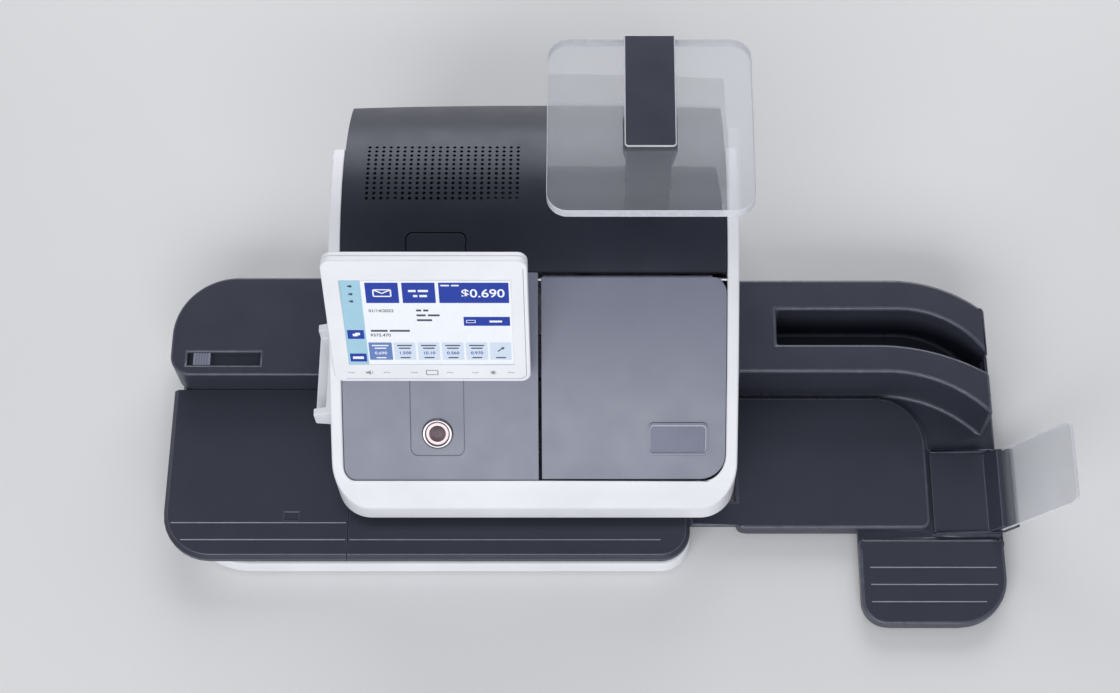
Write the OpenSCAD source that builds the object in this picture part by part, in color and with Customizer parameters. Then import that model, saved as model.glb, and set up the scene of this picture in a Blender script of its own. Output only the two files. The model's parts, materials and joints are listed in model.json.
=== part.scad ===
// Desktop postage meter: letter transport with print unit, weigh plate, tilting display and catch tray.
// Drawn with x = 0 at the middle of the body and y = 0 at the front edge of the base, then moved to its origin.

/* [Fits] */
// Gap between neighbouring covers and panels
gap = 0.4; // [0.3:0.05:0.6]
// Radial clearance of shafts and pins in their bores
run = 0.05; // [0.03:0.01:0.08]
// Wall of the moulded covers and decks
wall = 3; // [2.4:0.1:3.4]

/* [Base and decks] */
// Height of the rubber feet
foot_h = 3; // [2:0.5:4]
// Height of the base rim above the desk
base_top = 22; // [20:0.5:24]
// Height of the letter deck above the desk
deck_top = 30; // [28.5:0.5:32]
// Left end of the feed deck, from the middle of the body
feed_reach = 303.5; // [290:0.5:320]
// Right end of the main deck, from the middle of the body
deck_reach = 124.5; // [122:0.5:127]
// Seam between the feed deck and the main deck, left of the middle
deck_seam = 152.5; // [150:0.5:156]
// Radius of the feed deck's front corner
feed_corner = 40; // [30:1:50]
// Radius of the main deck's front corner
deck_corner = 24; // [16:1:28]
// Width and height of the bevel along the deck edge
deck_bevel = 3.5; // [2:0.5:4]
// Distance of the letter guide wall from the front edge
guide_y = 150; // [146:0.5:154]
// Height of the raised ridges on the deck
ridge_h = 0.4; // [0.2:0.1:0.5]
// Distance from one deck ridge to the next
ridge_step = 14.4; // [12:0.2:16]

/* [Label platform] */
// Height of the raised platform left of the body
wing_top = 60; // [54:1:66]
// Back edge of the platform, from the front edge of the base
wing_back = 239; // [225:1:250]
// Radius of the platform's rear corner
wing_corner = 52; // [40:1:60]
// Length of the slider slot in the platform
slot_l = 60; // [50:1:70]
// Width of the slider slot
slot_w = 11.7; // [9:0.1:14]

/* [Body] */
// Width of the white outer frame
body_w = 319; // [313:0.5:325]
// Thickness of the frame's side cheeks
cheek = 9.2; // [8.6:0.1:10]
// Height of the letter slot between deck and body
path_h = 12; // [11:0.25:13]
// Front edge of the lip, from the front edge of the base
lip_y = 24; // [20:0.5:27]
// Depth of the sloping lip
lip_d = 24; // [21:0.5:27]
// Height of the sloping lip
lip_h = 42; // [39:0.5:45]
// Bow of the lip in plan
lip_bow = 12; // [8:0.5:14]
// Radius of the frame's front corners
frame_corner = 28; // [24:1:32]
// Seam between the front panel and the top cover, from the front edge
seam_y = 187; // [183:0.5:191]
// Highest line of the top cover, from the front edge
crest_y = 250.6; // [246:0.2:255]
// Height of the top cover
crest_z = 191.3; // [188:0.1:195]
// Radius of the top cover's arch
cover_r = 140; // [136:0.5:144]
// Radius of the front panel's gentle arch
panel_r = 736; // [600:1:900]
// Back of the body, from the front edge
back_y = 355; // [348:0.5:362]
// Slope of the top cover where it ends at the back
back_slope = 48.2; // [45:0.1:51]
// Bow of the top cover's back edge in plan
back_bow = 7; // [4:0.5:9]
// Back end of the frame's side cheeks
cheek_y = 293; // [285:0.5:300]
// How far the white frame stands above panel and cover
frame_rise = 1; // [0.6:0.1:1.6]
// Seam between the front panel and the cartridge door, right of the middle
door_x = 4.5; // [0:0.5:10]

/* [Grille] */
// Columns of holes in the loudspeaker grille
grille_cols = 22; // [16:1:24]
// Rows of holes in the grille
grille_rows = 12; // [8:1:14]
// Distance between columns
grille_step = 5.6; // [5:0.1:5.8]
// Distance between rows along the arch
grille_row = 4.5; // [4:0.1:4.8]
// Diameter of a grille hole
grille_d = 2.6; // [2:0.1:3]

/* [Controls] */
// Line of the display, key and button, left of the middle
control_x = 76; // [72:0.5:80]
// Distance of the start button from the front edge
button_y = 79; // [74:0.5:84]
// Diameter of the start button's bezel
bezel_d = 24.7; // [22:0.1:28]
// Travel of the start button
button_travel = 1.5; // [1:0.1:2]
// Width of the key in the top cover
key_w = 45; // [40:0.5:50]
// Front edge of the key
key_y0 = 191; // [190:0.5:193]
// Back edge of the key
key_y1 = 215; // [211:0.5:219]
// Travel of the key
key_travel = 1.5; // [1:0.1:2]

/* [Display] */
// Width of the display
display_w = 151.5; // [146:0.5:154]
// Height of the display along its face
display_h = 128.5; // [124:0.5:134]
// Thickness of the display at its edge
display_t = 10; // [9:0.5:12]
// Lean of the display face from the desk
display_tilt = 70; // [67:0.5:72]
// Lower edge of the display, from the front edge of the base
display_y = 107.6; // [104:0.2:109]
// Height of the display's lower edge
display_z = 146; // [145:0.5:150]
// Width of the screen
screen_w = 126.3; // [120:0.1:130]
// Height of the screen
screen_h = 90.2; // [86:0.1:94]
// Lower edge of the screen, from the display's lower edge
screen_y = 18.4; // [17:0.1:21]

/* [Weigh plate] */
// Width of the clear weigh plate
plate_w = 155; // [145:1:165]
// Depth of the clear weigh plate
plate_d = 148; // [140:1:156]
// Thickness of the clear weigh plate
plate_t = 10; // [8:0.5:11]
// Height of the weigh plate's top face
plate_z = 270; // [262:0.5:276]
// Middle of the weigh plate, right of the middle of the body
plate_x = 89; // [84:0.5:94]
// Front edge of the weigh plate, from the front edge of the base
plate_y = 191; // [187:0.5:195]
// Radius of the weigh plate's corners
plate_corner = 16; // [12:1:20]
// Width of the dark strip on the weigh plate
strip_w = 39; // [36:0.5:42]
// Front face of the weigh post, from the front edge of the base
post_y = 246; // [244:0.5:249]

/* [Catch tray] */
// Height of the tray's rear handle block
tray_top = 62; // [58:0.5:66]
// Left edge of the catch tray, from the middle of the body
tray_x = 163; // [161.5:0.5:166]
// Right edge of the catch tray
tray_right = 381; // [374:0.5:390]
// Right edge of the handle block
handle_right = 371; // [366:0.5:373]
// Back edge of the handle block
tray_back = 236; // [232:0.5:242]
// Front edge of the shelf, in front of the base
shelf_front = 48; // [42:0.5:54]
// Left edge of the shelf
shelf_x = 262.5; // [256:0.5:270]
// Height of the letter floor
floor_z = 18; // [16.5:0.5:20]
// Lean of the clear letter stop from upright
stop_lean = 33; // [28:0.5:36]
// Height of the clear letter stop above the desk
stop_z = 90; // [84:0.5:96]
// Front edge of the letter stop
stop_y = 30; // [26:0.5:34]
// Length of the letter stop
stop_l = 68; // [60:0.5:72]

/* [Transport] */
// Diameter of the drive shafts
shaft_d = 8; // [7:0.5:9]
// Diameter of the rubber drive rollers
roller_d = 44; // [42:0.2:46]
// Diameter of the pressure rollers
press_d = 16; // [15:0.2:17]
// Distance of the drive shafts from the middle of the body
shaft_x = 112; // [110:0.5:113]
// Length of one roller
roller_l = 14; // [12:0.5:15]
// Pitch diameter of the belt pulleys
pulley_d = 20; // [18:0.5:22]
// Thickness of the drive belts
belt_t = 1.5; // [1.2:0.1:2]
// Travel of the pressure rollers
press_travel = 3; // [2:0.5:3.5]

/* [Hidden] */
$fn = 64;
broad = 720;
coarse = 32;
over = 1;

// Colours
white = [0.90, 0.91, 0.95];
charcoal = [0.23, 0.24, 0.29];
cover_dark = [0.17, 0.18, 0.22];
panel_grey = [0.55, 0.57, 0.63];
steel = [0.70, 0.71, 0.73];
rubber_black = [0.09, 0.09, 0.10];
clear = [0.75, 0.78, 0.85, 0.35];
board_green = [0.10, 0.32, 0.20];
brass_tone = [0.75, 0.62, 0.34];
screen_blue = [0.55, 0.75, 0.90];

// Levels of the letter path
body_floor = deck_top + path_h;
base_floor = foot_h + wall;
plate_top = body_floor + 2.5;
lip_top = [lip_y + lip_d, body_floor + lip_h];
body_half = body_w / 2;
cheek_in = body_half - cheek;
cover_half = cheek_in - gap;

// Arcs of the side profile
cover_c = [crest_y, crest_z - cover_r];
rear_r = (back_y - crest_y) / sin(back_slope);
rear_c = [crest_y, crest_z - rear_r];
seam_z = cover_c[1] + sqrt(pow(cover_r, 2) - pow(seam_y - crest_y, 2));
back_z = crest_z - rear_r * (1 - cos(back_slope));
function arc_centre(a, b, r) =
    let (m = (a + b) / 2, d = b - a, l = norm(d), h = sqrt(r * r - l * l / 4))
    m + h * [d[1], -d[0]] / l;
panel_c = arc_centre(lip_top, [seam_y, seam_z], panel_r);
function panel_z(y, rise = 0) = panel_c[1] + sqrt(pow(panel_r + rise, 2) - pow(panel_c[0] - y, 2));
function panel_slope(y) = asin((panel_c[0] - y) / panel_r);
function cover_z(y) = let (r = y < crest_y ? cover_r : rear_r) crest_z - r + sqrt(r * r - pow(y - crest_y, 2));
function bow_radius(half, bow) = (half * half + bow * bow) / (2 * bow);
lip_r = 75;
lip_c = arc_centre([lip_y, body_floor], [lip_top[0], panel_z(lip_top[0], frame_rise)], lip_r);
bow_r = bow_radius(body_half, lip_bow);

// Overall box, for the origin in the middle of its lower face
stop_run = (stop_z - floor_z) * tan(stop_lean);
stop_t = 3;
stop_end = tray_right + stop_run;
mid_x = (stop_end - feed_reach) / 2;
mid_y = (back_y - shelf_front) / 2;

// Helpers
module at_origin() { translate([-mid_x, -mid_y, 0]) children(); }
// A side outline drawn as (y, z) and carried from x0 to x1
module across(x0, x1) { translate([x0, 0, 0]) rotate([90, 0, 90]) linear_extrude(x1 - x0) children(); }
// A front outline drawn as (x, z) and carried from y0 to y1
module along(y0, y1) { translate([0, y1, 0]) rotate([90, 0, 0]) linear_extrude(y1 - y0) children(); }
// A plan outline raised from z0 to z1
module up(z0, z1) { translate([0, 0, z0]) linear_extrude(z1 - z0) children(); }
module box(x, y, z) { translate([x[0], y[0], z[0]]) cube([x[1] - x[0], y[1] - y[0], z[1] - z[0]]); }
module area(x, y) { translate([x[0], y[0]]) square([x[1] - x[0], y[1] - y[0]]); }
// A rectangle with its own radius at each corner: front left, front right, rear right, rear left
module round_area(x, y, r) {
    difference() {
        area(x, y);
        round_corner([x[0], y[0]], [1, 1], r[0]);
        round_corner([x[1], y[0]], [-1, 1], r[1]);
        round_corner([x[1], y[1]], [-1, -1], r[2]);
        round_corner([x[0], y[1]], [1, -1], r[3]);
    }
}
// The bit that rounding takes off a corner p, which opens towards d
module round_corner(p, d, r) {
    if (r > 0) translate(p) difference() {
        translate([d[0] > 0 ? -over : -r, d[1] > 0 ? -over : -r]) square(r + over);
        translate(r * d) circle(r);
    }
}
// A rod along y
module rod(x, z, r, y0, y1) { translate([x, y1, z]) rotate([90, 0, 0]) cylinder(r = r, h = y1 - y0); }
// A rod along x
module bar(y, z, r, x0, x1) { translate([x0, y, z]) rotate([0, 90, 0]) cylinder(r = r, h = x1 - x0); }
// Moves a piece that stands on z = 0 so that it stands on the front panel at y
module on_panel(x, y) { translate([x, y, panel_z(y)]) rotate([panel_slope(y), 0, 0]) children(); }
// The side outline under the arch of the top cover from y0 to y1, raised by rise
module under_arch(rise, y0, y1) {
    intersection() {
        translate(cover_c) circle(cover_r + rise, $fn = broad);
        area([y0, crest_y], [cover_c[1], crest_z + 2 * over]);
    }
    intersection() {
        translate(rear_c) circle(rear_r + rise, $fn = broad);
        area([crest_y, y1], [cover_c[1], crest_z + 2 * over]);
    }
}

// Base, decks and label platform
base_in = 6;
deck_in = 2.4;
base_corner = 66;
shoulder_y = 60;
rim_in = cover_half - wall - over;
fence_t = 2;
leg_y = guide_y + fence_t + gap;
divider = 2.5;
exit_room = shaft_x + press_d / 2 + 2;
module base_plan(inset) {
    round_area([-feed_reach + base_in + inset, deck_reach - inset], [inset, wing_back - wall - inset],
        [base_corner - inset, deck_corner - inset, 0, wing_corner - inset]);
}
module base_tray() {
    left = -feed_reach + base_in + wall;
    color(white) at_origin() {
        difference() {
            up(foot_h, base_top) {
                base_plan(0);
                round_area([-body_half, body_half], [shoulder_y, back_y], [0, 8, 12, 12]);
            }
            up(base_floor, base_top + over) {
                intersection() {
                    base_plan(wall);
                    area([left, deck_reach - wall], [0, guide_y - divider]);
                }
                intersection() {
                    base_plan(wall);
                    area([left, -body_half - wall], [guide_y + divider, wing_back]);
                }
                area([-rim_in, rim_in], [guide_y + divider, back_y - 2 * wall]);
                area([left, exit_room], [shoulder_y + wall, guide_y - divider]);
            }
            up(base_floor, base_top - wall) area([left, rim_in], [shoulder_y + wall, guide_y - divider]);
        }
        for (x = [-feed_reach + 70 : 60 : -deck_seam])
            box([x, x + wall], [wall, guide_y - divider], [base_floor, base_floor + 8]);
    }
}

foot_r = 8;
foot_spots = [[-feed_reach + 34, 62], [-feed_reach + 34, 190], [deck_reach - 24, 30], [-140, back_y - 24],
    [140, back_y - 24], [tray_x + 24, tray_back - 24], [handle_right - 41, tray_back - 20],
    [shelf_x + 24, -shelf_front + 26], [tray_right - 42, -shelf_front + 44]];
module rubber_feet() {
    color(rubber_black) at_origin()
        for (p = foot_spots) translate([p[0], p[1], 0]) cylinder(r = foot_r, h = foot_h);
}

// A deck plate with a bevel along the sides that back names, open underneath
module deck_plate(x, y, r, left, right) {
    difference() {
        hull($fn = coarse) {
            up(base_top, deck_top - deck_bevel) round_area(x, y, r);
            up(base_top, deck_top) round_area([x[0] + left * deck_bevel, x[1] - right * deck_bevel],
                [y[0] + deck_bevel, y[1]], [for (q = r) max(q - deck_bevel, 0)]);
        }
        up(base_top - over, deck_top - wall) round_area([x[0] + 2 * wall, x[1] - 2 * wall],
            [y[0] + 2 * wall, y[1] - 2 * wall], [for (q = r) max(q - 2 * wall, 0)]);
    }
}
// Ridges across the front of a deck, which start inside a round corner of radius r at x0
ridge_w = 1;
ridge_y0 = deck_in + 15.2;
module ridges(x0, x1, r, count) {
    c = [x0 + r, deck_in + r];
    inner = r - deck_bevel - 2;
    for (i = [0 : count - 1]) {
        y = ridge_y0 + i * ridge_step;
        start = y < c[1] ? c[0] - sqrt(max(pow(inner, 2) - pow(c[1] - y, 2), 0)) : x0 + deck_bevel + 2;
        box([start, x1], [y, y + ridge_w], [deck_top - over, deck_top + ridge_h]);
    }
}
sensor_x = -199;
module feed_deck() {
    right = -deck_seam - gap / 2;
    color(charcoal) at_origin() difference() {
        union() {
            deck_plate([-feed_reach, right], [deck_in, guide_y - gap], [feed_corner, 0, 0, 0], 1, 0);
            ridges(-feed_reach, right - 1.5, feed_corner, 2);
        }
        box([sensor_x - 6, sensor_x + 6], [34.5, 42], [deck_top - 1.5, deck_top + over]);
    }
}
press_rows = [100, 126];
press_slot = 8.5;
module main_deck() {
    left = -deck_seam + gap / 2;
    color(charcoal) at_origin() difference() {
        union() {
            deck_plate([left, deck_reach], [deck_in, guide_y + fence_t], [0, deck_corner, 0, 0], 0, 1);
            box([left + 1.5, deck_reach - deck_corner], [ridge_y0, ridge_y0 + ridge_w],
                [deck_top - over, deck_top + ridge_h]);
            box([left, deck_reach], [guide_y, guide_y + fence_t], [deck_top - over, body_floor - gap]);
        }
        for (x = [-shaft_x, shaft_x], y = press_rows)
            box([x - press_slot, x + press_slot], [y - 1, y + roller_l + 1], [base_top, deck_top + over]);
    }
}

wing_reach = feed_reach - 1;
wing_front_corner = 18;
slot_x = -wing_reach + 14;
slot_y = guide_y + 9;
slot_deep = 6;
module wing_plan(inset) {
    round_area([-wing_reach + inset, -body_half - gap - inset], [guide_y + inset, wing_back - inset],
        [wing_front_corner - inset, 0, 0, wing_corner - inset]);
}
module label_platform() {
    color(charcoal) at_origin() difference() {
        union() {
            difference() {
                up(base_top, wing_top) wing_plan(0);
                up(base_top - over, wing_top - wall) wing_plan(wall);
            }
            box([slot_x - wall, slot_x + slot_l + wall], [slot_y - wall, slot_y + slot_w + wall],
                [wing_top - slot_deep - wall, wing_top - over]);
        }
        box([slot_x, slot_x + slot_l], [slot_y, slot_y + slot_w], [wing_top - slot_deep, wing_top + over]);
    }
}
slider_l = 14;
slider_in = 5;
module label_slider() {
    x = slot_x + slider_in;
    low = wing_top - slot_deep + gap;
    color(panel_grey) at_origin() difference() {
        box([x, x + slider_l], [slot_y + gap, slot_y + slot_w - gap], [low, wing_top - 0.5]);
        for (i = [0 : 4])
            box([x + 2.2 + i * 2.2, x + 3.2 + i * 2.2], [slot_y, slot_y + slot_w], [wing_top - 1.3, wing_top]);
    }
}

inlet_y = [98, 177];
inlet_z = 84;
inlet_reach = 16;
inlet_wall = 5;
inlet_mouth = 9;
inlet_slot = [inlet_y[0] + inlet_wall + 1, inlet_y[1] - inlet_wall - 1];
module label_inlet() {
    x = [-body_half - inlet_reach, -body_half];
    color(white) at_origin() difference() {
        along(inlet_y[0], inlet_y[1]) polygon([[x[0], inlet_z - 1], [x[0], inlet_z + 16],
            [x[1], inlet_z + 22], [x[1], inlet_z - 4]]);
        along(inlet_slot[0], inlet_slot[1]) polygon([[x[0] - over, inlet_z + 2], [x[0] - over, inlet_z + 22],
            [x[0] + 9, inlet_z + 22], [x[1] - 3, inlet_z + inlet_mouth], [x[1] + over, inlet_z + inlet_mouth],
            [x[1] + over, inlet_z]]);
    }
}

// White outer frame with its two cheeks and the bowed lip
lip_floor = 10;
corner_y = lip_y + 0.7 * lip_bow;
tip_r = 10;
tip_c = [cheek_y - tip_r, cover_z(cheek_y - tip_r) + frame_rise - tip_r];
module frame_side() {
    difference() {
        union() {
            intersection() {
                translate(panel_c) circle(panel_r + frame_rise, $fn = broad);
                area([lip_top[0], seam_y], [body_floor, crest_z]);
            }
            under_arch(frame_rise, seam_y, cheek_y);
            intersection() {
                translate(lip_c) circle(lip_r, $fn = broad);
                area([lip_y, lip_top[0]], [body_floor, crest_z]);
            }
            area([leg_y, cheek_y], [base_top, cover_c[1]]);
        }
        difference() {
            area([tip_c[0], cheek_y + over], [tip_c[1], crest_z + 2 * over]);
            translate(tip_c) circle(tip_r);
        }
    }
}
// Plan of the frame between its front and back, set in by side at the cheeks and front at the lip
module frame_plan(side, front) {
    intersection() {
        round_area([-body_half + side, body_half - side], [corner_y + front, cheek_y + over],
            [frame_corner - side, frame_corner - side, 0, 0]);
        translate([0, lip_y + bow_r]) circle(bow_r - front, $fn = broad);
    }
}
// The room under the lip and under the ledge round panel and door
module lip_room() {
    intersection() {
        translate(lip_c) circle(lip_r - wall, $fn = broad);
        area([lip_y, lip_top[0] + over], [body_floor + wall, crest_z]);
    }
    intersection() {
        translate(panel_c) circle(panel_r - 2 * wall, $fn = broad);
        area([lip_top[0] - over, seam_y], [body_floor, crest_z]);
    }
}
// The room over the letter path and under the top cover
module body_room() {
    area([lip_y + lip_floor, cheek_y + over], [0, plate_top + wall]);
    area([seam_y - over, cheek_y + over], [0, crest_z + 2 * over]);
}
pin_r = 1.5;
barrel_r = 3.2;
barrel_y = seam_y - gap - barrel_r;
barrel_z = panel_z(barrel_y, -barrel_r);
pin_deep = 5;
ledge = 0.6;
land = 0.8;
panel_corner = 9;
door_corner = 20;
// Distance and slope from the door's hinge down to the edge of the lip, where the door swings past
lip_edge = [lip_top[0] + land, panel_z(lip_top[0] + land, frame_rise)];
swing_l = norm(lip_edge - [barrel_y, barrel_z]);
swing_slope = atan2(barrel_z - lip_edge[1], barrel_y - lip_edge[0]);
// Local frame of the door: y along the slope, from the hinge
module on_door() { translate([0, barrel_y, barrel_z]) rotate([swing_slope, 0, 0]) children(); }
module outer_frame() {
    color(white) at_origin() difference() {
        intersection() {
            across(-body_half, body_half) frame_side();
            up(0, crest_z + 2 * over) frame_plan(0, 0);
        }
        intersection() {
            union() {
                across(-cheek_in, cheek_in) body_room();
                across(-cheek_in + ledge, cheek_in - ledge) lip_room();
            }
            up(-over, crest_z + 3 * over) frame_plan(cheek, wall);
        }
        up(plate_top + 2 * wall, crest_z) round_area([-cheek_in, cheek_in], [lip_edge[0], seam_y],
            [panel_corner + gap, door_corner * cos(swing_slope) + gap, 0, 0]);
        bar(barrel_y, barrel_z, pin_r + run, cheek_in - over, cheek_in + pin_deep + over);
        box([-body_half - over, -cheek_in + 2 * over], inlet_slot, [inlet_z, inlet_z + inlet_mouth]);
    }
}

// Arched top cover with the grille, the key opening and the post opening
grille_x = -72;
grille_turn = grille_row / cover_r * 180 / PI;
// Middle of the grille behind the crest, with whole rows on either side of the crest line
grille_a = (4 + grille_rows % 2 / 2) * grille_turn;
post_w = 34;
post_d = 30;
post_room = 1;
key_corner = 4;
key_room = 1.2;
key_rim = 2.6;
key_rise = 0.3;
key_guide = 0.5;
// Plan of the key, made larger by more on all sides
module key_plan(more) {
    r = key_corner + more;
    round_area([-control_x - key_w / 2 - more, -control_x + key_w / 2 + more], [key_y0 - more, key_y1 + more],
        [r, r, r, r]);
}
module cover_side(inset, ext) {
    under_arch(-inset, seam_y + gap - ext, back_y + ext);
    area([seam_y + gap - ext, back_y + ext], [base_top - ext, cover_c[1] + over]);
}
module cover_arch(r1, r0, y0, y1) {
    intersection() {
        difference() {
            translate(cover_c) circle(r1, $fn = broad);
            translate(cover_c) circle(r0, $fn = broad);
        }
        area([y0, y1], [cover_c[1], crest_z + 2 * over]);
    }
}
module grille_holes() {
    for (i = [0 : grille_cols - 1], j = [0 : grille_rows - 1])
        translate([grille_x + (i - (grille_cols - 1) / 2) * grille_step, cover_c[0], cover_c[1]])
            rotate([-grille_a - (j - (grille_rows - 1) / 2) * grille_turn, 0, 0])
                translate([0, 0, cover_r - wall - over]) cylinder(d = grille_d, h = wall + 2 * over, $fn = 16);
}
module top_cover() {
    back_r = bow_radius(cover_half, back_bow);
    color(cover_dark) at_origin() difference() {
        intersection() {
            across(-cover_half, cover_half) cover_side(0, over);
            up(base_top, crest_z + over) intersection() {
                area([-cover_half - over, cover_half + over], [seam_y + gap, back_y + over]);
                translate([0, back_y - back_r]) circle(back_r, $fn = broad);
            }
        }
        across(-cover_half + wall, cover_half - wall) cover_side(wall, 2 * over);
        up(cover_z(key_y0) - 3 * wall, crest_z) key_plan(key_room);
        box([plate_x - post_w / 2 - post_room, plate_x + post_w / 2 + post_room],
            [post_y - post_room, post_y + post_d + post_room], [cover_c[1] + cover_r / 2, crest_z + over]);
        grille_holes();
    }
}

// Back plate with vents and the sockets' openings
rear_y = [back_y - back_bow - 5, back_y - back_bow - 2];
rear_top = back_z - 2 * wall;
rear_half = cover_half - wall - gap;
inlet_x = 100;
inlet_h = 62;
inlet_hole = [27, 20];
lan_x = -66;
lan_hole = [46, 18];
screw_in = 9;
slat_count = 14;
slat_step = 8;
slat_w = 4;
slat_h = 30;
slat_z = body_floor + 50;
module rear_cover() {
    color(charcoal) at_origin() {
        along(rear_y[0], rear_y[1]) difference() {
            area([-rear_half, rear_half], [base_top, rear_top]);
            translate([inlet_x - inlet_hole[0] / 2, inlet_h - inlet_hole[1] / 2]) square(inlet_hole);
            translate([lan_x - lan_hole[0] / 2, inlet_h - lan_hole[1] / 2]) square(lan_hole);
            for (i = [0 : slat_count - 1]) translate([(i - slat_count / 2) * slat_step + slat_step / 2, slat_z])
                square([slat_w, slat_h]);
        }
    }
}
screw_spots = [for (x = [-rear_half + screw_in, rear_half - screw_in], z = [base_top + screw_in, rear_top - screw_in])
    [x, z]];
module rear_screws() {
    color(steel) at_origin() for (p = screw_spots) difference() {
        rod(p[0], p[1], 3.5, rear_y[1], rear_y[1] + 1.8);
        for (a = [0, 90]) translate([p[0], rear_y[1] + 1.8, p[1]]) rotate([0, a, 0])
            cube([4, 1.6, 0.9], center = true);
    }
}
// Mains inlet: a shroud with its recess and three contact blades
module power_inlet() {
    deep = 20;
    recess = 16;
    color(rubber_black) at_origin() translate([inlet_x, rear_y[1], inlet_h]) {
        difference() {
            union() {
                translate([-inlet_hole[0] / 2 + gap, -deep, -inlet_hole[1] / 2 + gap])
                    cube([inlet_hole[0] - 2 * gap, deep, inlet_hole[1] - 2 * gap]);
                translate([-inlet_hole[0] / 2 - 2, 0, -inlet_hole[1] / 2 - 2])
                    cube([inlet_hole[0] + 4, 1.6, inlet_hole[1] + 4]);
            }
            translate([-11.5, 1.6 + over - recess, -7.5]) cube([23, recess, 15]);
        }
        for (p = [[-7, -2], [0, 2], [7, -2]]) translate([p[0] - 1, 1.6 + over - recess - 0.5, p[1] - 2])
            cube([2, 9, 4]);
    }
}
// One network socket and two data sockets in a common block
module data_sockets() {
    deep = 16;
    color(rubber_black) at_origin() translate([lan_x, rear_y[1], inlet_h]) difference() {
        union() {
            translate([-lan_hole[0] / 2 + gap, -deep, -lan_hole[1] / 2 + gap])
                cube([lan_hole[0] - 2 * gap, deep, lan_hole[1] - 2 * gap]);
            translate([-lan_hole[0] / 2 - 1.5, 0, -lan_hole[1] / 2 - 1.5])
                cube([lan_hole[0] + 3, 1.2, lan_hole[1] + 3]);
        }
        translate([-19, -12, -5]) cube([12, 14, 9]);
        for (z = [-6.5, 1.5]) difference() {
            translate([1, -12, z]) cube([13, 14, 5.2]);
            translate([2, -12, z + 2.6]) cube([11, 10, 1.8]);
        }
    }
}

// Grey front panel with the button pad and the left bearing of the door
door_seam = 2.4;
panel_right = door_x - door_seam / 2;
pad_y = [65, 126];
pad_w = 42;
pad_deep = 0.5;
pad_corner = 5;
panel_y = [lip_edge[0] + gap, seam_y];
button_r = bezel_d / 2;
sleeve_r = button_r - 1.6;
module panel_arch(r1, r0, y0, y1) {
    intersection() {
        difference() {
            translate(panel_c) circle(r1, $fn = broad);
            translate(panel_c) circle(r0, $fn = broad);
        }
        area([y0, y1], [body_floor, crest_z]);
    }
}
module front_panel() {
    color(panel_grey) at_origin() difference() {
        union() {
            intersection() {
                across(-cover_half - over, panel_right + over)
                    panel_arch(panel_r, panel_r - wall, panel_y[0] - over, panel_y[1] + over);
                up(0, crest_z) round_area([-cover_half, panel_right], panel_y, [panel_corner, 0, 0, 0]);
            }
            across(panel_right - wall, panel_right)
                panel_arch(panel_r - over, panel_r - 4 * wall, panel_y[0] + 30, panel_y[1]);
            for (x = [-cover_half + 4, -control_x - 34, -control_x + 34])
                across(x, x + 2) panel_arch(panel_r - over, panel_r - 3 * wall, panel_y[0] + 12, panel_y[1]);
        }
        intersection() {
            across(-control_x - pad_w, -control_x + pad_w)
                panel_arch(panel_r + over, panel_r - pad_deep, pad_y[0] - over, pad_y[1] + over);
            up(0, crest_z) round_area([-control_x - pad_w / 2, -control_x + pad_w / 2], pad_y,
                [pad_corner, pad_corner, pad_corner, pad_corner]);
        }
        on_panel(-control_x, button_y) translate([0, 0, -4 * wall]) cylinder(r = sleeve_r + run, h = 6 * wall);
        bar(barrel_y, barrel_z, pin_r + run, panel_right - wall - over, panel_right + over);
    }
}

// Start button: chrome bezel, light ring and cap
ring_r = button_r - 3.6;
cap_r = ring_r - 2.4;
cup_deep = 9;
cap_room = 0.3;
bezel_h = 1.2;
seat = pad_deep - 0.1;
module button_bezel() {
    color(steel) at_origin() on_panel(-control_x, button_y) translate([0, 0, -seat])
        rotate_extrude() difference() {
            union() {
                translate([ring_r, 0]) square([button_r - ring_r - bezel_h, bezel_h]);
                translate([ring_r, 0]) square([button_r - ring_r, bezel_h / 2]);
                translate([0, -cup_deep]) square([sleeve_r, cup_deep + bezel_h / 2]);
            }
            translate([0, -cup_deep + 2]) square([ring_r, cup_deep + 2 * bezel_h]);
        }
}
module button_ring() {
    color([1.0, 0.86, 0.84]) at_origin() on_panel(-control_x, button_y) translate([0, 0, -seat])
        rotate_extrude() translate([cap_r + cap_room, -cup_deep + 2])
            square([ring_r - cap_r - cap_room - run, cup_deep - 2 + bezel_h / 2]);
}
module button_cap() {
    low = -cup_deep + 2 + button_travel + gap;
    color([0.30, 0.28, 0.28]) at_origin() on_panel(-control_x, button_y) translate([0, 0, -seat])
        rotate_extrude() difference() {
            translate([0, low]) square([cap_r, bezel_h / 2 - low]);
            translate([0, 40 + bezel_h / 2 - 0.6]) circle(40);
        }
}

// Key in the top cover, with a rim that holds it under the cover
module top_key() {
    x = [-control_x - key_w, -control_x + key_w];
    y = [key_y0 - 2 * key_rim, key_y1 + 2 * key_rim];
    low = cover_r - wall - key_travel - key_guide;
    color(cover_dark) at_origin() {
        intersection() {
            across(x[0], x[1]) cover_arch(cover_r + key_rise, low, y[0], y[1]);
            up(0, crest_z + over) key_plan(0);
        }
        intersection() {
            across(x[0], x[1]) cover_arch(cover_r - wall - gap, low, y[0], y[1]);
            up(0, crest_z + over) key_plan(key_rim);
        }
    }
}

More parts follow.
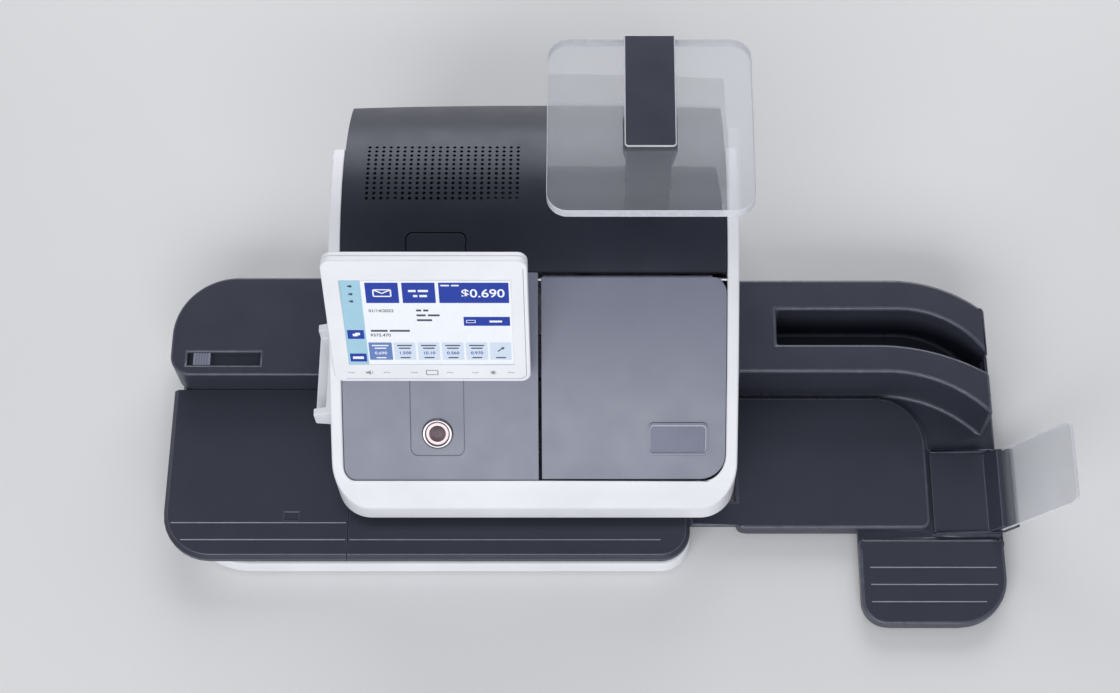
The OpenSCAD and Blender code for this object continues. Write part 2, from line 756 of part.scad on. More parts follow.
// Cartridge door with its hinge barrel, stiffening ribs and the bare badge plate
door_left = door_x + door_seam / 2;
door_top_corner = 14;
barrel_x = [door_left + over, cover_half - 0.8 * door_top_corner];
module cartridge_door() {
    y = [lip_top[0] - over, barrel_y];
    color(panel_grey) at_origin() difference() {
        union() {
            intersection() {
                union() {
                    across(door_left - over, cover_half + over) panel_arch(panel_r, panel_r - wall, y[0], y[1]);
                    for (x = [door_left + 8, (door_left + cover_half) / 2, cover_half - 24])
                        across(x, x + 2) panel_arch(panel_r - over, panel_r - 2 * wall, y[0], y[1]);
                }
                on_door() up(-5 * wall, 5 * wall) round_area([door_left, cover_half],
                    [-swing_l + gap, barrel_r], [0, door_corner, door_top_corner, 0]);
            }
            bar(barrel_y, barrel_z, barrel_r, barrel_x[0], barrel_x[1]);
        }
        bar(barrel_y, barrel_z, pin_r + run, door_left - over, barrel_x[0] + 12);
        bar(barrel_y, barrel_z, pin_r + run, barrel_x[1] - 12, cover_half + over);
    }
}
module door_pins() {
    color(steel) at_origin() {
        bar(barrel_y, barrel_z, pin_r, panel_right - wall, barrel_x[0] + 11);
        bar(barrel_y, barrel_z, pin_r, barrel_x[1] - 11, cheek_in + pin_deep);
    }
}
badge_x = [89, 136];
badge_y = [64.7, 85.5];
badge_h = 1.4;
module door_badge() {
    rim = 1.6;
    color(panel_grey) at_origin() difference() {
        intersection() {
            across(badge_x[0] - over, badge_x[1] + over)
                panel_arch(panel_r + badge_h, panel_r + run, badge_y[0] - over, badge_y[1] + over);
            up(0, crest_z) round_area(badge_x, badge_y, [4, 4, 4, 4]);
        }
        intersection() {
            across(badge_x[0], badge_x[1])
                panel_arch(panel_r + 2 * badge_h, panel_r + badge_h / 2, badge_y[0], badge_y[1]);
            up(0, crest_z) round_area([badge_x[0] + rim, badge_x[1] - rim],
                [badge_y[0] + rim, badge_y[1] - rim], [3, 3, 3, 3]);
        }
    }
}

// Display: bezel, screen and back shell on a hinge bracket
display_x = 77.7;
display_corner = 8;
bezel_t = 6;
hinge_up = 42;
hinge_back = 24;
knuckle_r = 6;
knuckle_half = 16;
shell_back = 16;
display_pin_r = 2.5;
ear_t = 6;
hinge_y = display_y + hinge_up * cos(display_tilt) + hinge_back * sin(display_tilt);
hinge_z = display_z + hinge_up * sin(display_tilt) - hinge_back * cos(display_tilt);
// Local frame of the display: x across, y up the face, z out of the face towards the user
module on_display() { translate([-display_x, display_y, display_z]) rotate([display_tilt, 0, 0]) children(); }
module display_plan(inset) {
    r = display_corner - min(inset, display_corner - 2);
    round_area([-display_w / 2 + inset, display_w / 2 - inset], [inset, display_h - inset], [r, r, r, r]);
}
module screen_plan(more) {
    translate([-screen_w / 2 - more, screen_y - more]) square([screen_w + 2 * more, screen_h + 2 * more]);
}
screen_edge = 3;
screen_t = 2;
screen_in = 1.2;
module display_bezel() {
    color(white) at_origin() on_display() difference() {
        up(-bezel_t, 0) display_plan(0);
        up(-bezel_t - over, -screen_in) screen_plan(screen_edge);
        up(-bezel_t, over) screen_plan(0);
    }
}
module display_screen() {
    color(screen_blue) at_origin() on_display()
        up(-screen_in - screen_t, -screen_in) screen_plan(screen_edge - gap);
}
module display_shell() {
    color(white) at_origin() on_display() difference() {
        union() {
            up(-display_t, -bezel_t) display_plan(0);
            hull($fn = coarse) {
                up(-display_t - 0.1, -display_t) display_plan(1);
                up(-shell_back, -shell_back + 1) display_plan(16);
            }
            translate([-knuckle_half, hinge_up - knuckle_r, -hinge_back])
                cube([2 * knuckle_half, 2 * knuckle_r, hinge_back - shell_back + over]);
            bar(hinge_up, -hinge_back, knuckle_r, -knuckle_half, knuckle_half);
        }
        up(-display_t, -bezel_t + over) display_plan(wall + 1);
        bar(hinge_up, -hinge_back, display_pin_r + run, -knuckle_half - over, knuckle_half + over);
    }
}
module display_bracket() {
    r = knuckle_r + 0.5;
    foot = [hinge_y - 9, hinge_y + 18];
    color(white) at_origin() difference() {
        for (s = [-1, 1]) translate([-display_x + s * (knuckle_half + gap + ear_t / 2), 0, 0])
            across(-ear_t / 2, ear_t / 2) difference() {
                union() {
                    translate([hinge_y, hinge_z]) circle(r);
                    polygon([[hinge_y - r, hinge_z], [foot[0], panel_z(foot[0]) - wall],
                        [foot[1], panel_z(foot[1]) - wall], [hinge_y + r, hinge_z]]);
                }
                translate(panel_c) circle(panel_r + run, $fn = broad);
            }
        bar(hinge_y, hinge_z, display_pin_r + run, -display_x - 40, -display_x + 40);
    }
}
module display_pin() {
    half = knuckle_half + gap + ear_t;
    color(steel) at_origin() bar(hinge_y, hinge_z, display_pin_r, -display_x - half, -display_x + half);
}

// Weigh plate on its post above the load cell
cell_top = crest_z - 19.3;
cell_h = 12;
cell_w = 12;
cell_x = [plate_x - 59, plate_x + 17];
cell_gap = 0.8;
flexure_r = 4;
flexure_x = [(cell_x[0] + cell_x[1]) / 2 - 6, (cell_x[0] + cell_x[1]) / 2 + 6];
strip_t = 2.2;
post_mid = post_y + post_d / 2;
module weigh_plate() {
    color(clear) at_origin() up(plate_z - plate_t, plate_z)
        round_area([plate_x - plate_w / 2, plate_x + plate_w / 2], [plate_y, plate_y + plate_d],
            [plate_corner, plate_corner, plate_corner, plate_corner]);
}
module plate_strip() {
    x = [plate_x - strip_w / 2, plate_x + strip_w / 2];
    back = plate_y + plate_d;
    color(charcoal) at_origin() {
        up(plate_z, plate_z + strip_t) round_area(x, [post_y - 2, back + strip_t], [3, 3, 0, 0]);
        box(x, [back, back + strip_t], [plate_z - plate_t, plate_z + over]);
    }
}
module weigh_post() {
    flare = 4;
    top = plate_z - plate_t;
    color(charcoal) at_origin() {
        along(post_y, post_y + post_d) translate([plate_x, 0]) polygon([[-post_w / 2, cell_top + cell_gap],
            [post_w / 2, cell_top + cell_gap], [post_w / 2, top - 12], [post_w / 2 + flare, top],
            [-post_w / 2 - flare, top], [-post_w / 2, top - 12]]);
    }
}
module load_cell() {
    y = [post_mid - cell_w / 2, post_mid + cell_w / 2];
    mid = cell_top - cell_h / 2;
    color(steel) at_origin() difference() {
        box(cell_x, y, [cell_top - cell_h, cell_top]);
        for (x = flexure_x) rod(x, mid, flexure_r, y[0] - over, y[1] + over);
        box(flexure_x, [y[0] - over, y[1] + over], [mid - 1, mid + 1]);
    }
}
module load_cell_bracket() {
    x = [cell_x[0] - 4, cell_x[0] + 20];
    y = [post_mid - 14, post_mid + 14];
    sheet = 2;
    top = cell_top - cell_h;
    color(steel) at_origin() difference() {
        box(x, y, [base_floor, top]);
        box([x[0] + sheet, x[1] + over], [y[0] + sheet, y[1] - sheet], [base_floor + sheet, top - sheet]);
    }
}

// Letter transport: plates, shafts, rollers, pulleys and belts
press_gap = 0.5;
nip = 0.4;
shaft_z = deck_top + press_gap + nip + roller_d / 2;
press_z = deck_top + press_gap - press_d / 2;
bulk_y = [guide_y + 3, guide_y + 5.5];
front_y = [press_rows[0] - 12, press_rows[0] - 9.5];
shaft_y = [front_y[0] - 3, bulk_y[1] + 20];
bush_r = 6;
link_y = bulk_y[1] + 2;
drive_y = link_y + 9;
pulley_w = 8;
motor_x = -75;
motor_z = 100;
motor_r = 21;
spindle_r = 2.5;
head_x = [16, 88];
head_y = [press_rows[0] - 2, guide_y - 2];
module path_plate() {
    slot = sqrt(pow(roller_d / 2, 2) - pow(shaft_z - plate_top, 2)) + 1.5;
    color(steel) at_origin() difference() {
        up(body_floor, plate_top) intersection() {
            frame_plan(cheek + gap, wall + gap);
            area([-cheek_in, cheek_in], [lip_y + lip_floor + gap, guide_y + fence_t]);
        }
        for (x = [-shaft_x, shaft_x], y = press_rows)
            box([x - slot, x + slot], [y - 1, y + roller_l + 1], [body_floor - over, plate_top + over]);
        box([head_x[0] + 8, head_x[1] - 8], [head_y[0] + 8, head_y[1] - 8],
            [body_floor - over, plate_top + over]);
    }
}
bulk_top = body_floor + 92;
bulk_slant = [20, 16];
bulk_window = [[20, 110], [body_floor + 42, body_floor + 76]];
module rear_bulkhead() {
    half = rim_in - over;
    shoulder = bulk_top - bulk_slant[1];
    color(steel) at_origin() along(bulk_y[0], bulk_y[1]) difference() {
        polygon([[-half, base_floor], [half, base_floor], [half, shoulder], [rim_in - bulk_slant[0], bulk_top],
            [-rim_in + bulk_slant[0], bulk_top], [-half, shoulder]]);
        for (x = [-shaft_x, shaft_x]) translate([x, shaft_z]) circle(bush_r + run);
        translate([motor_x, motor_z]) circle(spindle_r + 3);
        area(bulk_window[0], bulk_window[1]);
    }
}
module bearing_plate() {
    half = shaft_x + 18;
    color(steel) at_origin() along(front_y[0], front_y[1]) difference() {
        polygon([[-half, plate_top], [half, plate_top], [half, shaft_z + 10], [half - 12, shaft_z + 16],
            [half - 36, shaft_z + 16], [half - 48, plate_top + 8], [-half + 48, plate_top + 8],
            [-half + 36, shaft_z + 16], [-half + 12, shaft_z + 16], [-half, shaft_z + 10]]);
        for (x = [-shaft_x, shaft_x]) translate([x, shaft_z]) circle(bush_r + run);
    }
}
module shaft_bushes() {
    color(brass_tone) at_origin() for (x = [-shaft_x, shaft_x]) {
        difference() {
            union() {
                rod(x, shaft_z, bush_r, bulk_y[0], bulk_y[1]);
                rod(x, shaft_z, bush_r + 2, bulk_y[1], bulk_y[1] + 1);
            }
            rod(x, shaft_z, shaft_d / 2 + run, bulk_y[0] - over, bulk_y[1] + 2);
        }
        difference() {
            union() {
                rod(x, shaft_z, bush_r, front_y[0], front_y[1]);
                rod(x, shaft_z, bush_r + 2, front_y[0] - 1, front_y[0]);
            }
            rod(x, shaft_z, shaft_d / 2 + run, front_y[0] - 2, front_y[1] + over);
        }
    }
}
module shaft(x) { color(steel) at_origin() rod(x, shaft_z, shaft_d / 2, shaft_y[0], shaft_y[1]); }
module infeed_shaft() { shaft(-shaft_x); }
module exit_shaft() { shaft(shaft_x); }
// Two grooved rubber tyres on a shaft
module drive_tyres(x) {
    color(rubber_black) at_origin() for (y = press_rows) translate([x, y + roller_l, shaft_z]) rotate([90, 0, 0])
        rotate_extrude() difference() {
            translate([shaft_d / 2 + run, 0]) square([roller_d / 2 - shaft_d / 2 - run, roller_l]);
            for (k = [1 : 3]) translate([roller_d / 2, k * roller_l / 4]) circle(0.8);
        }
}
module infeed_rollers() { drive_tyres(-shaft_x); }
module exit_rollers() { drive_tyres(shaft_x); }
// A flanged belt pulley whose bore fits a shaft of radius r
module pulley(x, z, y, r) {
    translate([x, y + pulley_w, z]) rotate([90, 0, 0]) rotate_extrude() {
        translate([r, 0]) square([pulley_d / 2 - r, pulley_w]);
        for (s = [0, pulley_w - 0.8]) translate([r, s]) square([pulley_d / 2 + 2.2 - r, 0.8]);
    }
}
module infeed_pulleys() {
    color(steel) at_origin() {
        pulley(-shaft_x, shaft_z, link_y, shaft_d / 2 + run);
        pulley(-shaft_x, shaft_z, drive_y, shaft_d / 2 + run);
    }
}
module exit_pulley() { color(steel) at_origin() pulley(shaft_x, shaft_z, link_y, shaft_d / 2 + run); }
module motor_pulley() {
    color(steel) at_origin() {
        pulley(motor_x, motor_z, drive_y, spindle_r - 0.2);
        rod(motor_x, motor_z, spindle_r, bulk_y[0] + gap, drive_y + pulley_w);
    }
}
// A belt round two equal pulleys at a and b
module belt(a, b, y) {
    inner = pulley_d / 2 + 0.3;
    span = norm(b - a);
    turn = atan2(b[1] - a[1], b[0] - a[0]);
    color(rubber_black) at_origin() along(y + 1.2, y + pulley_w - 1.2) translate(a) rotate(turn) difference() {
        union() {
            circle(inner + belt_t);
            translate([span, 0]) circle(inner + belt_t);
            translate([0, -inner - belt_t]) square([span, 2 * (inner + belt_t)]);
        }
        circle(inner);
        translate([span, 0]) circle(inner);
        translate([0, -inner]) square([span, 2 * inner]);
    }
}
module link_belt() { belt([-shaft_x, shaft_z], [shaft_x, shaft_z], link_y); }
module drive_belt() { belt([-shaft_x, shaft_z], [motor_x, motor_z], drive_y); }
module transport_motor() {
    color([0.25, 0.26, 0.28]) at_origin() difference() {
        union() {
            rod(motor_x, motor_z, motor_r, bulk_y[0] - 40, bulk_y[0] - 2);
            rod(motor_x, motor_z, motor_r - 4, bulk_y[0] - 44, bulk_y[0] - 40);
            along(bulk_y[0] - 2, bulk_y[0]) translate([motor_x, motor_z])
                round_area([-motor_r, motor_r], [-motor_r, motor_r], [5, 5, 5, 5]);
        }
        rod(motor_x, motor_z, spindle_r + 0.4, bulk_y[0] - 10, bulk_y[0] + over);
    }
}
// Sprung carrier of a pair of pressure rollers, with its axle ends
carrier_low = base_floor + press_travel + 2.5;
axle_r = 2;
ear_y = [[press_rows[0] - 6, press_rows[0] - gap], [press_rows[0] + roller_l + gap, press_rows[1] - gap],
    [press_rows[1] + roller_l + gap, press_rows[1] + roller_l + 5.5]];
spring_r = 4;
spring_top = carrier_low + 4.6;
module carrier(x) {
    low = press_z - press_d / 2 - gap;
    color(charcoal) at_origin() difference() {
        union() {
            box([x - 10, x + 10], [ear_y[0][0], ear_y[2][1]], [carrier_low, low]);
            for (y = ear_y) along(y[0], y[1]) {
                translate([x, press_z]) circle(3.4);
                translate([x - 5.5, carrier_low]) square([11, press_z - carrier_low]);
            }
            rod(x, press_z, axle_r, ear_y[0][0], ear_y[2][1]);
        }
        translate([x, (ear_y[1][0] + ear_y[1][1]) / 2, carrier_low - over])
            cylinder(r = spring_r + gap, h = spring_top - carrier_low + over + 0.3);
    }
}
module infeed_carrier() { carrier(-shaft_x); }
module exit_carrier() { carrier(shaft_x); }
module press_tyres(x) {
    color(rubber_black) at_origin() for (y = press_rows) difference() {
        rod(x, press_z, press_d / 2, y, y + roller_l);
        rod(x, press_z, axle_r + run, y - over, y + roller_l + over);
    }
}
module infeed_press_rollers() { press_tyres(-shaft_x); }
module exit_press_rollers() { press_tyres(shaft_x); }
module carrier_spring(x) {
    color(steel) at_origin() translate([x, (ear_y[1][0] + ear_y[1][1]) / 2, base_floor]) difference() {
        cylinder(r = spring_r, h = spring_top - base_floor);
        translate([0, 0, -over]) cylinder(r = spring_r - 0.8, h = spring_top);
    }
}
module infeed_spring() { carrier_spring(-shaft_x); }
module exit_spring() { carrier_spring(shaft_x); }

// Print unit: carrier with two ink cartridges over the print window
cart_w = 29;
cart_h = 79.5;
grip_in = 8;
grip_deep = 7;
grip_h = 38;
cart_x = [head_x[0] + 4, head_x[1] - 4 - cart_w];
cart_y = [head_y[0] + 4, head_y[1] - 4];
module cartridge_carrier() {
    sheet = 3;
    color(charcoal) at_origin() difference() {
        box(head_x, head_y, [plate_top, plate_top + 26]);
        box([head_x[0] + sheet, head_x[1] - sheet], [head_y[0] + sheet, head_y[1] - sheet],
            [plate_top + 2, plate_top + 27]);
        box([head_x[0] + 8, head_x[1] - 8], [head_y[0] + 8, head_y[1] - 8], [plate_top - over, plate_top + 3]);
        box([head_x[0] + 12, head_x[1] - 12], [head_y[0] - over, head_y[0] + sheet + over],
            [plate_top + 10, plate_top + 27]);
    }
}
module ink_cartridges() {
    low = plate_top + 2;
    top = low + cart_h;
    color([0.13, 0.13, 0.15]) at_origin() for (x = cart_x) difference() {
        union() {
            across(x, x + cart_w) polygon([[cart_y[0], low], [cart_y[1], low], [cart_y[1], top - 4],
                [cart_y[1] - 12, top], [cart_y[0] + 10, top - 18], [cart_y[0], top - 26]]);
            box([x + 6, x + cart_w - 6], [cart_y[0] + 6, cart_y[1] - 6], [body_floor + 0.6, low + over]);
        }
        box([x + grip_in, x + cart_w - grip_in], [cart_y[0] - over, cart_y[0] + grip_deep],
            [top - grip_h, top + over]);
    }
}

// Electronics: a board on the left wall of the cover and the supply on the floor
board = [136, 84];
board_t = 1.6;
board_off = 6;
stud_r = 3;
stud_in = 6;
sink = 0.1;
chip = 32;
chip_t = 3;
fin_step = 5;
fin_t = 2;
part_h = 12;
can_r = 5;
can_step = 14;
module main_board() {
    x0 = -cover_half + wall;
    x1 = x0 + board_off;
    y = [rear_y[0] - 7 - board[0], rear_y[0] - 7];
    z = [body_floor + 20, body_floor + 20 + board[1]];
    top = x1 + board_t;
    chip_y = y[0] + 30;
    chip_z = z[0] + 30;
    plug_y = y[0] + 80;
    color(board_green) at_origin() {
        box([x1, top], y, z);
        for (p = [y[0] + stud_in, y[1] - stud_in], q = [z[0] + stud_in, z[1] - stud_in])
            bar(p, q, stud_r, x0, x1 + 0.5);
        box([top - sink, top + chip_t], [chip_y, chip_y + chip], [chip_z, chip_z + chip]);
        box([top - sink, top + part_h - 1], [plug_y, plug_y + 44], [z[0] + 4, z[0] + 14]);
        for (i = [0 : 5]) box([top + chip_t - sink, top + part_h],
            [chip_y + fin_t + i * fin_step, chip_y + 2 * fin_t + i * fin_step], [chip_z + 2, chip_z + chip - 2]);
        for (i = [0 : 2]) bar(plug_y + 6 + i * can_step, z[0] + 40, can_r, top - sink, top + part_h);
    }
}
supply = [100, 98, 44];
supply_x = -124;
supply_t = 1.5;
vent_step = 9;
vent_w = 4;
module power_supply() {
    x = [supply_x, supply_x + supply[0]];
    y = [rear_y[0] - 9 - supply[1], rear_y[0] - 9];
    z = [base_floor, base_floor + supply[2]];
    color(steel) at_origin() difference() {
        box(x, y, z);
        box([x[0] + supply_t, x[1] - supply_t], [y[0] - over, y[1] - supply_t],
            [z[0] + supply_t, z[1] - supply_t]);
        for (i = [0 : 8]) box([x[0] + 14 + i * vent_step, x[0] + 14 + i * vent_step + vent_w],
            [y[0] + 20, y[1] - 20], [z[1] - 2, z[1] + over]);
    }
}
speaker_r = 26;
module loudspeaker() {
    rim = sqrt(pow(cover_r - wall, 2) - pow(speaker_r, 2)) - gap;
    color(rubber_black) at_origin() translate([grille_x, cover_c[0], cover_c[1]]) rotate([-grille_a, 0, 0])
        translate([0, 0, rim]) rotate_extrude()
            polygon([[speaker_r, 0], [speaker_r - 3, 0], [6, -12], [0, -10], [0, -26], [15, -26], [15, -16],
                [speaker_r - 4, -4], [speaker_r, -3]]);
}

// Catch tray with its curved handle block and front shelf
far = 600;
tray_wall = guide_y + fence_t;
tray_bed = floor_z - 6;
shelf_z = tray_bed + 3;
shelf_y = 24;
pad_right = 322;
handle_back = [294.5, tray_back, 116];
handle_front = [286, tray_wall, 114];
trough_back = [300, tray_back - 27.5, 81];
trough_front = [280, tray_wall + 25, 174];
trough_x = 198;
trough_low = 12;
// All that lies in front of a line that runs straight up to x = a[0] and then bends forward with radius a[2]
module before(a, inset) {
    area([0, a[0]], [-far, a[1] - inset]);
    area([a[0] - over, a[0] + a[2] - inset], [-far, a[1] - a[2]]);
    intersection() {
        translate([a[0], a[1] - a[2]]) circle(a[2] - inset, $fn = broad);
        area([a[0] - over, far], [a[1] - a[2] - over, far]);
    }
}
module handle_plan(inset) {
    intersection() {
        difference() {
            before(handle_back, inset);
            before(handle_front, -inset);
        }
        round_area([tray_x + 1 + inset, handle_right - inset], [handle_front[1] - 60, tray_back + over],
            [0, 0, 0, 0]);
    }
}
module trough_plan(more) {
    intersection() {
        difference() {
            before(trough_back, -more);
            before(trough_front, more);
        }
        area([trough_x - more, handle_right + over], [0, far]);
    }
}
module bed_plan(inset) {
    round_area([tray_x + inset, tray_right - inset], [32 + inset, tray_wall - inset], [6, 0, 0, 0]);
    round_area([shelf_x + inset, tray_right - inset], [-shelf_front + inset, 60], [20, 40, 0, 0]);
}
rail_t = 2.4;
module catch_tray() {
    color(charcoal) at_origin() {
        difference() {
            union() {
                up(foot_h, tray_top) handle_plan(0);
                up(foot_h, tray_bed) bed_plan(0);
            }
            difference() {
                up(foot_h - over, tray_top - wall) handle_plan(wall);
                up(trough_low - wall, tray_top) trough_plan(wall);
            }
            up(trough_low, tray_top + over) trough_plan(0);
            up(foot_h - over, tray_bed - wall) bed_plan(wall);
        }
        up(tray_bed - 0.5, floor_z) round_area([tray_x, pad_right], [32, tray_wall - 4], [6, 8, 42, 4]);
        up(tray_bed - 0.5, shelf_z) round_area([shelf_x, tray_right], [-shelf_front, shelf_y], [20, 40, 4, 4]);
        for (i = [0 : 2]) box([shelf_x + 8, tray_right - (i == 2 ? 18 : 8)],
            [-i * ridge_step - ridge_w, -i * ridge_step], [shelf_z - over, shelf_z + ridge_h]);
        for (y = [stop_y - gap - rail_t, stop_y + stop_l + gap])
            box([pad_right + 4, tray_right - 2], [y, y + rail_t], [tray_bed - 0.5, tray_bed + 5]);
        box([deck_reach + gap, tray_x + over], [34, shoulder_y - 4], [floor_z - 4, floor_z]);
        for (p = foot_spots) if (p[0] > tray_x) {
            top = p[1] > tray_wall ? tray_top : tray_bed;
            translate([p[0], p[1], foot_h]) cylinder(r = foot_r, h = top - foot_h - over);
        }
    }
}
// Clear letter stop in the foot of its slide
blade_low = tray_bed + 0.3;
blade_t = 3;
foot_top = floor_z + 9;
module on_stop() { translate([tray_right, 0, floor_z]) rotate([0, stop_lean, 0]) children(); }
module stop_plate(more) {
    l = (stop_z - floor_z) / cos(stop_lean);
    across(-stop_t - more, more)
        round_area([stop_y - more, stop_y + stop_l + more], [-more, l], [0, 0, 7, 7]);
}
module letter_stop() { color(clear) at_origin() on_stop() stop_plate(0); }
module stop_slide() {
    tilt = (foot_top - blade_low) * tan(stop_lean);
    color(charcoal) at_origin() difference() {
        union() {
            box([pad_right + 3, tray_right - 6], [stop_y, stop_y + stop_l], [blade_low, blade_low + blade_t]);
            along(stop_y, stop_y + stop_l) polygon([[tray_right - 14, blade_low], [tray_right + 2, blade_low],
                [tray_right + 2 + tilt, foot_top], [tray_right - 12 + tilt, foot_top]]);
        }
        on_stop() stop_plate(run);
    }
}

base_tray();
rubber_feet();
feed_deck();
main_deck();
label_platform();
label_slider();
label_inlet();
outer_frame();
top_cover();
rear_cover();
rear_screws();
power_inlet();
data_sockets();
front_panel();
button_bezel();
button_ring();
button_cap();
top_key();
cartridge_door();
door_pins();
door_badge();
display_bezel();
display_screen();
display_shell();
display_bracket();
display_pin();
weigh_plate();
plate_strip();
weigh_post();
load_cell();
load_cell_bracket();
path_plate();
rear_bulkhead();
bearing_plate();
shaft_bushes();
infeed_shaft();
exit_shaft();
infeed_rollers();
exit_rollers();
infeed_pulleys();
exit_pulley();
motor_pulley();
link_belt();
drive_belt();
transport_motor();
infeed_carrier();
exit_carrier();
infeed_press_rollers();
exit_press_rollers();
infeed_spring();
exit_spring();
cartridge_carrier();
ink_cartridges();
main_board();
power_supply();
loudspeaker();
catch_tray();
letter_stop();
stop_slide();
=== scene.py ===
"""Looks of the desktop postage meter: finishes, rounded edges, screen picture, signs, light and camera."""
import json
import math

import bmesh
import bpy
from mathutils import Matrix, Vector


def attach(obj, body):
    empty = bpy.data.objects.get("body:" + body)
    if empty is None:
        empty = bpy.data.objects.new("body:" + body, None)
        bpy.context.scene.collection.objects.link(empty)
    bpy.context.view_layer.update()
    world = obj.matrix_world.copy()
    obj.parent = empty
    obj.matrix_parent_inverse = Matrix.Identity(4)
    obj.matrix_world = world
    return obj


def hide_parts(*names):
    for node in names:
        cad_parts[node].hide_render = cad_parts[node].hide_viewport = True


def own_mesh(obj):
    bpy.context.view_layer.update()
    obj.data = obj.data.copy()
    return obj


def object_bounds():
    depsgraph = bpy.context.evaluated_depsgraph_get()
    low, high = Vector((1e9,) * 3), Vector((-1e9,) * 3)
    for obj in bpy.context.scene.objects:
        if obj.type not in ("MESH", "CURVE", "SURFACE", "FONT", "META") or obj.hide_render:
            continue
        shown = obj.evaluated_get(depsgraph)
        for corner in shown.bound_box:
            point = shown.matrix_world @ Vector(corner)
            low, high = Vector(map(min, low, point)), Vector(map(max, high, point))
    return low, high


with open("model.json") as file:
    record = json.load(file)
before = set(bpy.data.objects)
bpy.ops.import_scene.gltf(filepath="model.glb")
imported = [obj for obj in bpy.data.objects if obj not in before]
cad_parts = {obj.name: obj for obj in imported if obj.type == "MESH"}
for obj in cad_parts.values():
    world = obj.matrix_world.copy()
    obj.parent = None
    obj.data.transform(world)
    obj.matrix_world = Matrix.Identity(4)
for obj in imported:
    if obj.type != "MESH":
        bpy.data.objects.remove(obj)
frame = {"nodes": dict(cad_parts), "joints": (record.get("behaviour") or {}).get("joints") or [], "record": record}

cad_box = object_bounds()
MM = 0.001
X = Vector((1, 0, 0))
Y = Vector((0, 1, 0))
Z = Vector((0, 0, 1))
record = frame["record"]
nodes = frame["nodes"]
body_of = {n: b for b, members in record["behaviour"]["bodies"].items() for n in members}
slot_of = {s["node"]: s["material_slot"] for s in record["subparts"]}
joint_of = {j["name"]: j for j in frame["joints"]}


# Measures of the nodes

def span_of(node, axis):
    """The lowest and highest reach of a node along an axis."""
    reach = [v.co.dot(axis) for v in nodes[node].data.vertices]
    return min(reach), max(reach)


def middle_of(node, axis):
    return sum(span_of(node, axis)) / 2


def radius_of(node):
    """Half a round node's width, in millimetres."""
    low, high = span_of(node, X)
    return (high - low) / 2 / MM


# Colours and materials

def srgb(r, g, b):
    """A colour as it is seen on a screen, 0 to 255, as the linear colour that shaders take."""
    def one(c):
        c /= 255
        return c / 12.92 if c <= 0.04045 else ((c + 0.055) / 1.055) ** 2.4
    return (one(r), one(g), one(b), 1.0)


def shade(colour, factor):
    return tuple(min(c * factor, 1.0) for c in colour[:3]) + (1.0,)


class Finish:
    """A Principled material with object coordinates, to which layers of detail are added."""

    # Nearly all values of a noise lie between these
    NOISE_LOW, NOISE_HIGH = 0.3, 0.7
    LEAST_ROUGH = 0.02

    def __init__(self, name, colour, rough, metal=0.0, **sockets):
        self.material = bpy.data.materials.new(name)
        self.material.use_nodes = True
        self.tree = self.material.node_tree
        self.bsdf = self.tree.nodes["Principled BSDF"]
        self.colour, self.rough = colour, rough
        self.set("Base Color", colour)
        self.set("Roughness", rough)
        self.set("Metallic", metal)
        for key, value in sockets.items():
            self.set(key.replace("_", " "), value)
        self.place = self.node("ShaderNodeTexCoord").outputs["Object"]

    def set(self, socket, value):
        self.bsdf.inputs[socket].default_value = value

    def node(self, kind, **values):
        n = self.tree.nodes.new(kind)
        for key, value in values.items():
            setattr(n, key, value)
        return n

    def link(self, a, b):
        self.tree.links.new(a, b)

    def noise(self, size_mm, detail, squeeze=None):
        """Noise whose spots are about size_mm across, or narrower along an axis by its factor in squeeze."""
        n = self.node("ShaderNodeTexNoise")
        n.inputs["Scale"].default_value = 1 / (size_mm * MM)
        n.inputs["Detail"].default_value = detail
        place = self.place
        if squeeze:
            mapping = self.node("ShaderNodeMapping")
            mapping.inputs["Scale"].default_value = squeeze
            self.link(place, mapping.inputs["Vector"])
            place = mapping.outputs["Vector"]
        self.link(place, n.inputs["Vector"])
        return n.outputs["Fac"]

    def span(self, source, low, high):
        """A noise spread out so that it runs from low to high."""
        n = self.node("ShaderNodeMapRange")
        n.inputs["From Min"].default_value = self.NOISE_LOW
        n.inputs["From Max"].default_value = self.NOISE_HIGH
        n.inputs["To Min"].default_value = low
        n.inputs["To Max"].default_value = high
        self.link(source, n.inputs["Value"])
        return n.outputs["Result"]

    def mottle(self, size_mm, amount):
        """Slight clouds in the colour."""
        mix = self.node("ShaderNodeMix", data_type="RGBA")
        mix.inputs["A"].default_value = shade(self.colour, 1 - amount)
        mix.inputs["B"].default_value = shade(self.colour, 1 + amount)
        self.link(self.span(self.noise(size_mm, detail=3.0), 0, 1), mix.inputs["Factor"])
        self.link(mix.outputs["Result"], self.bsdf.inputs["Base Color"])
        return self

    def smudge(self, size_mm, amount):
        """Patches that are a little duller or glossier."""
        low = max(self.rough - amount, self.LEAST_ROUGH)
        high = min(self.rough + amount, 1.0)
        self.link(self.span(self.noise(size_mm, detail=4.0), low, high), self.bsdf.inputs["Roughness"])
        return self

    def grain(self, size_mm, depth_mm, strength, squeeze=None):
        """A fine raised texture of the given depth."""
        n = self.node("ShaderNodeBump")
        n.inputs["Strength"].default_value = strength
        n.inputs["Distance"].default_value = depth_mm * MM
        self.link(self.noise(size_mm, detail=2.0, squeeze=squeeze), n.inputs["Height"])
        self.link(n.outputs["Normal"], self.bsdf.inputs["Normal"])
        return self


def moulded(name, colour, rough, grain_mm=0.5, clouds=(60, 0.04), **sockets):
    """Moulded plastic with its spark-eroded grain, and clouds of a size and an amount."""
    finish = Finish(name, colour, rough, **sockets)
    finish.mottle(*clouds).smudge(size_mm=25, amount=0.05)
    return finish.grain(grain_mm, depth_mm=0.05, strength=0.35).material


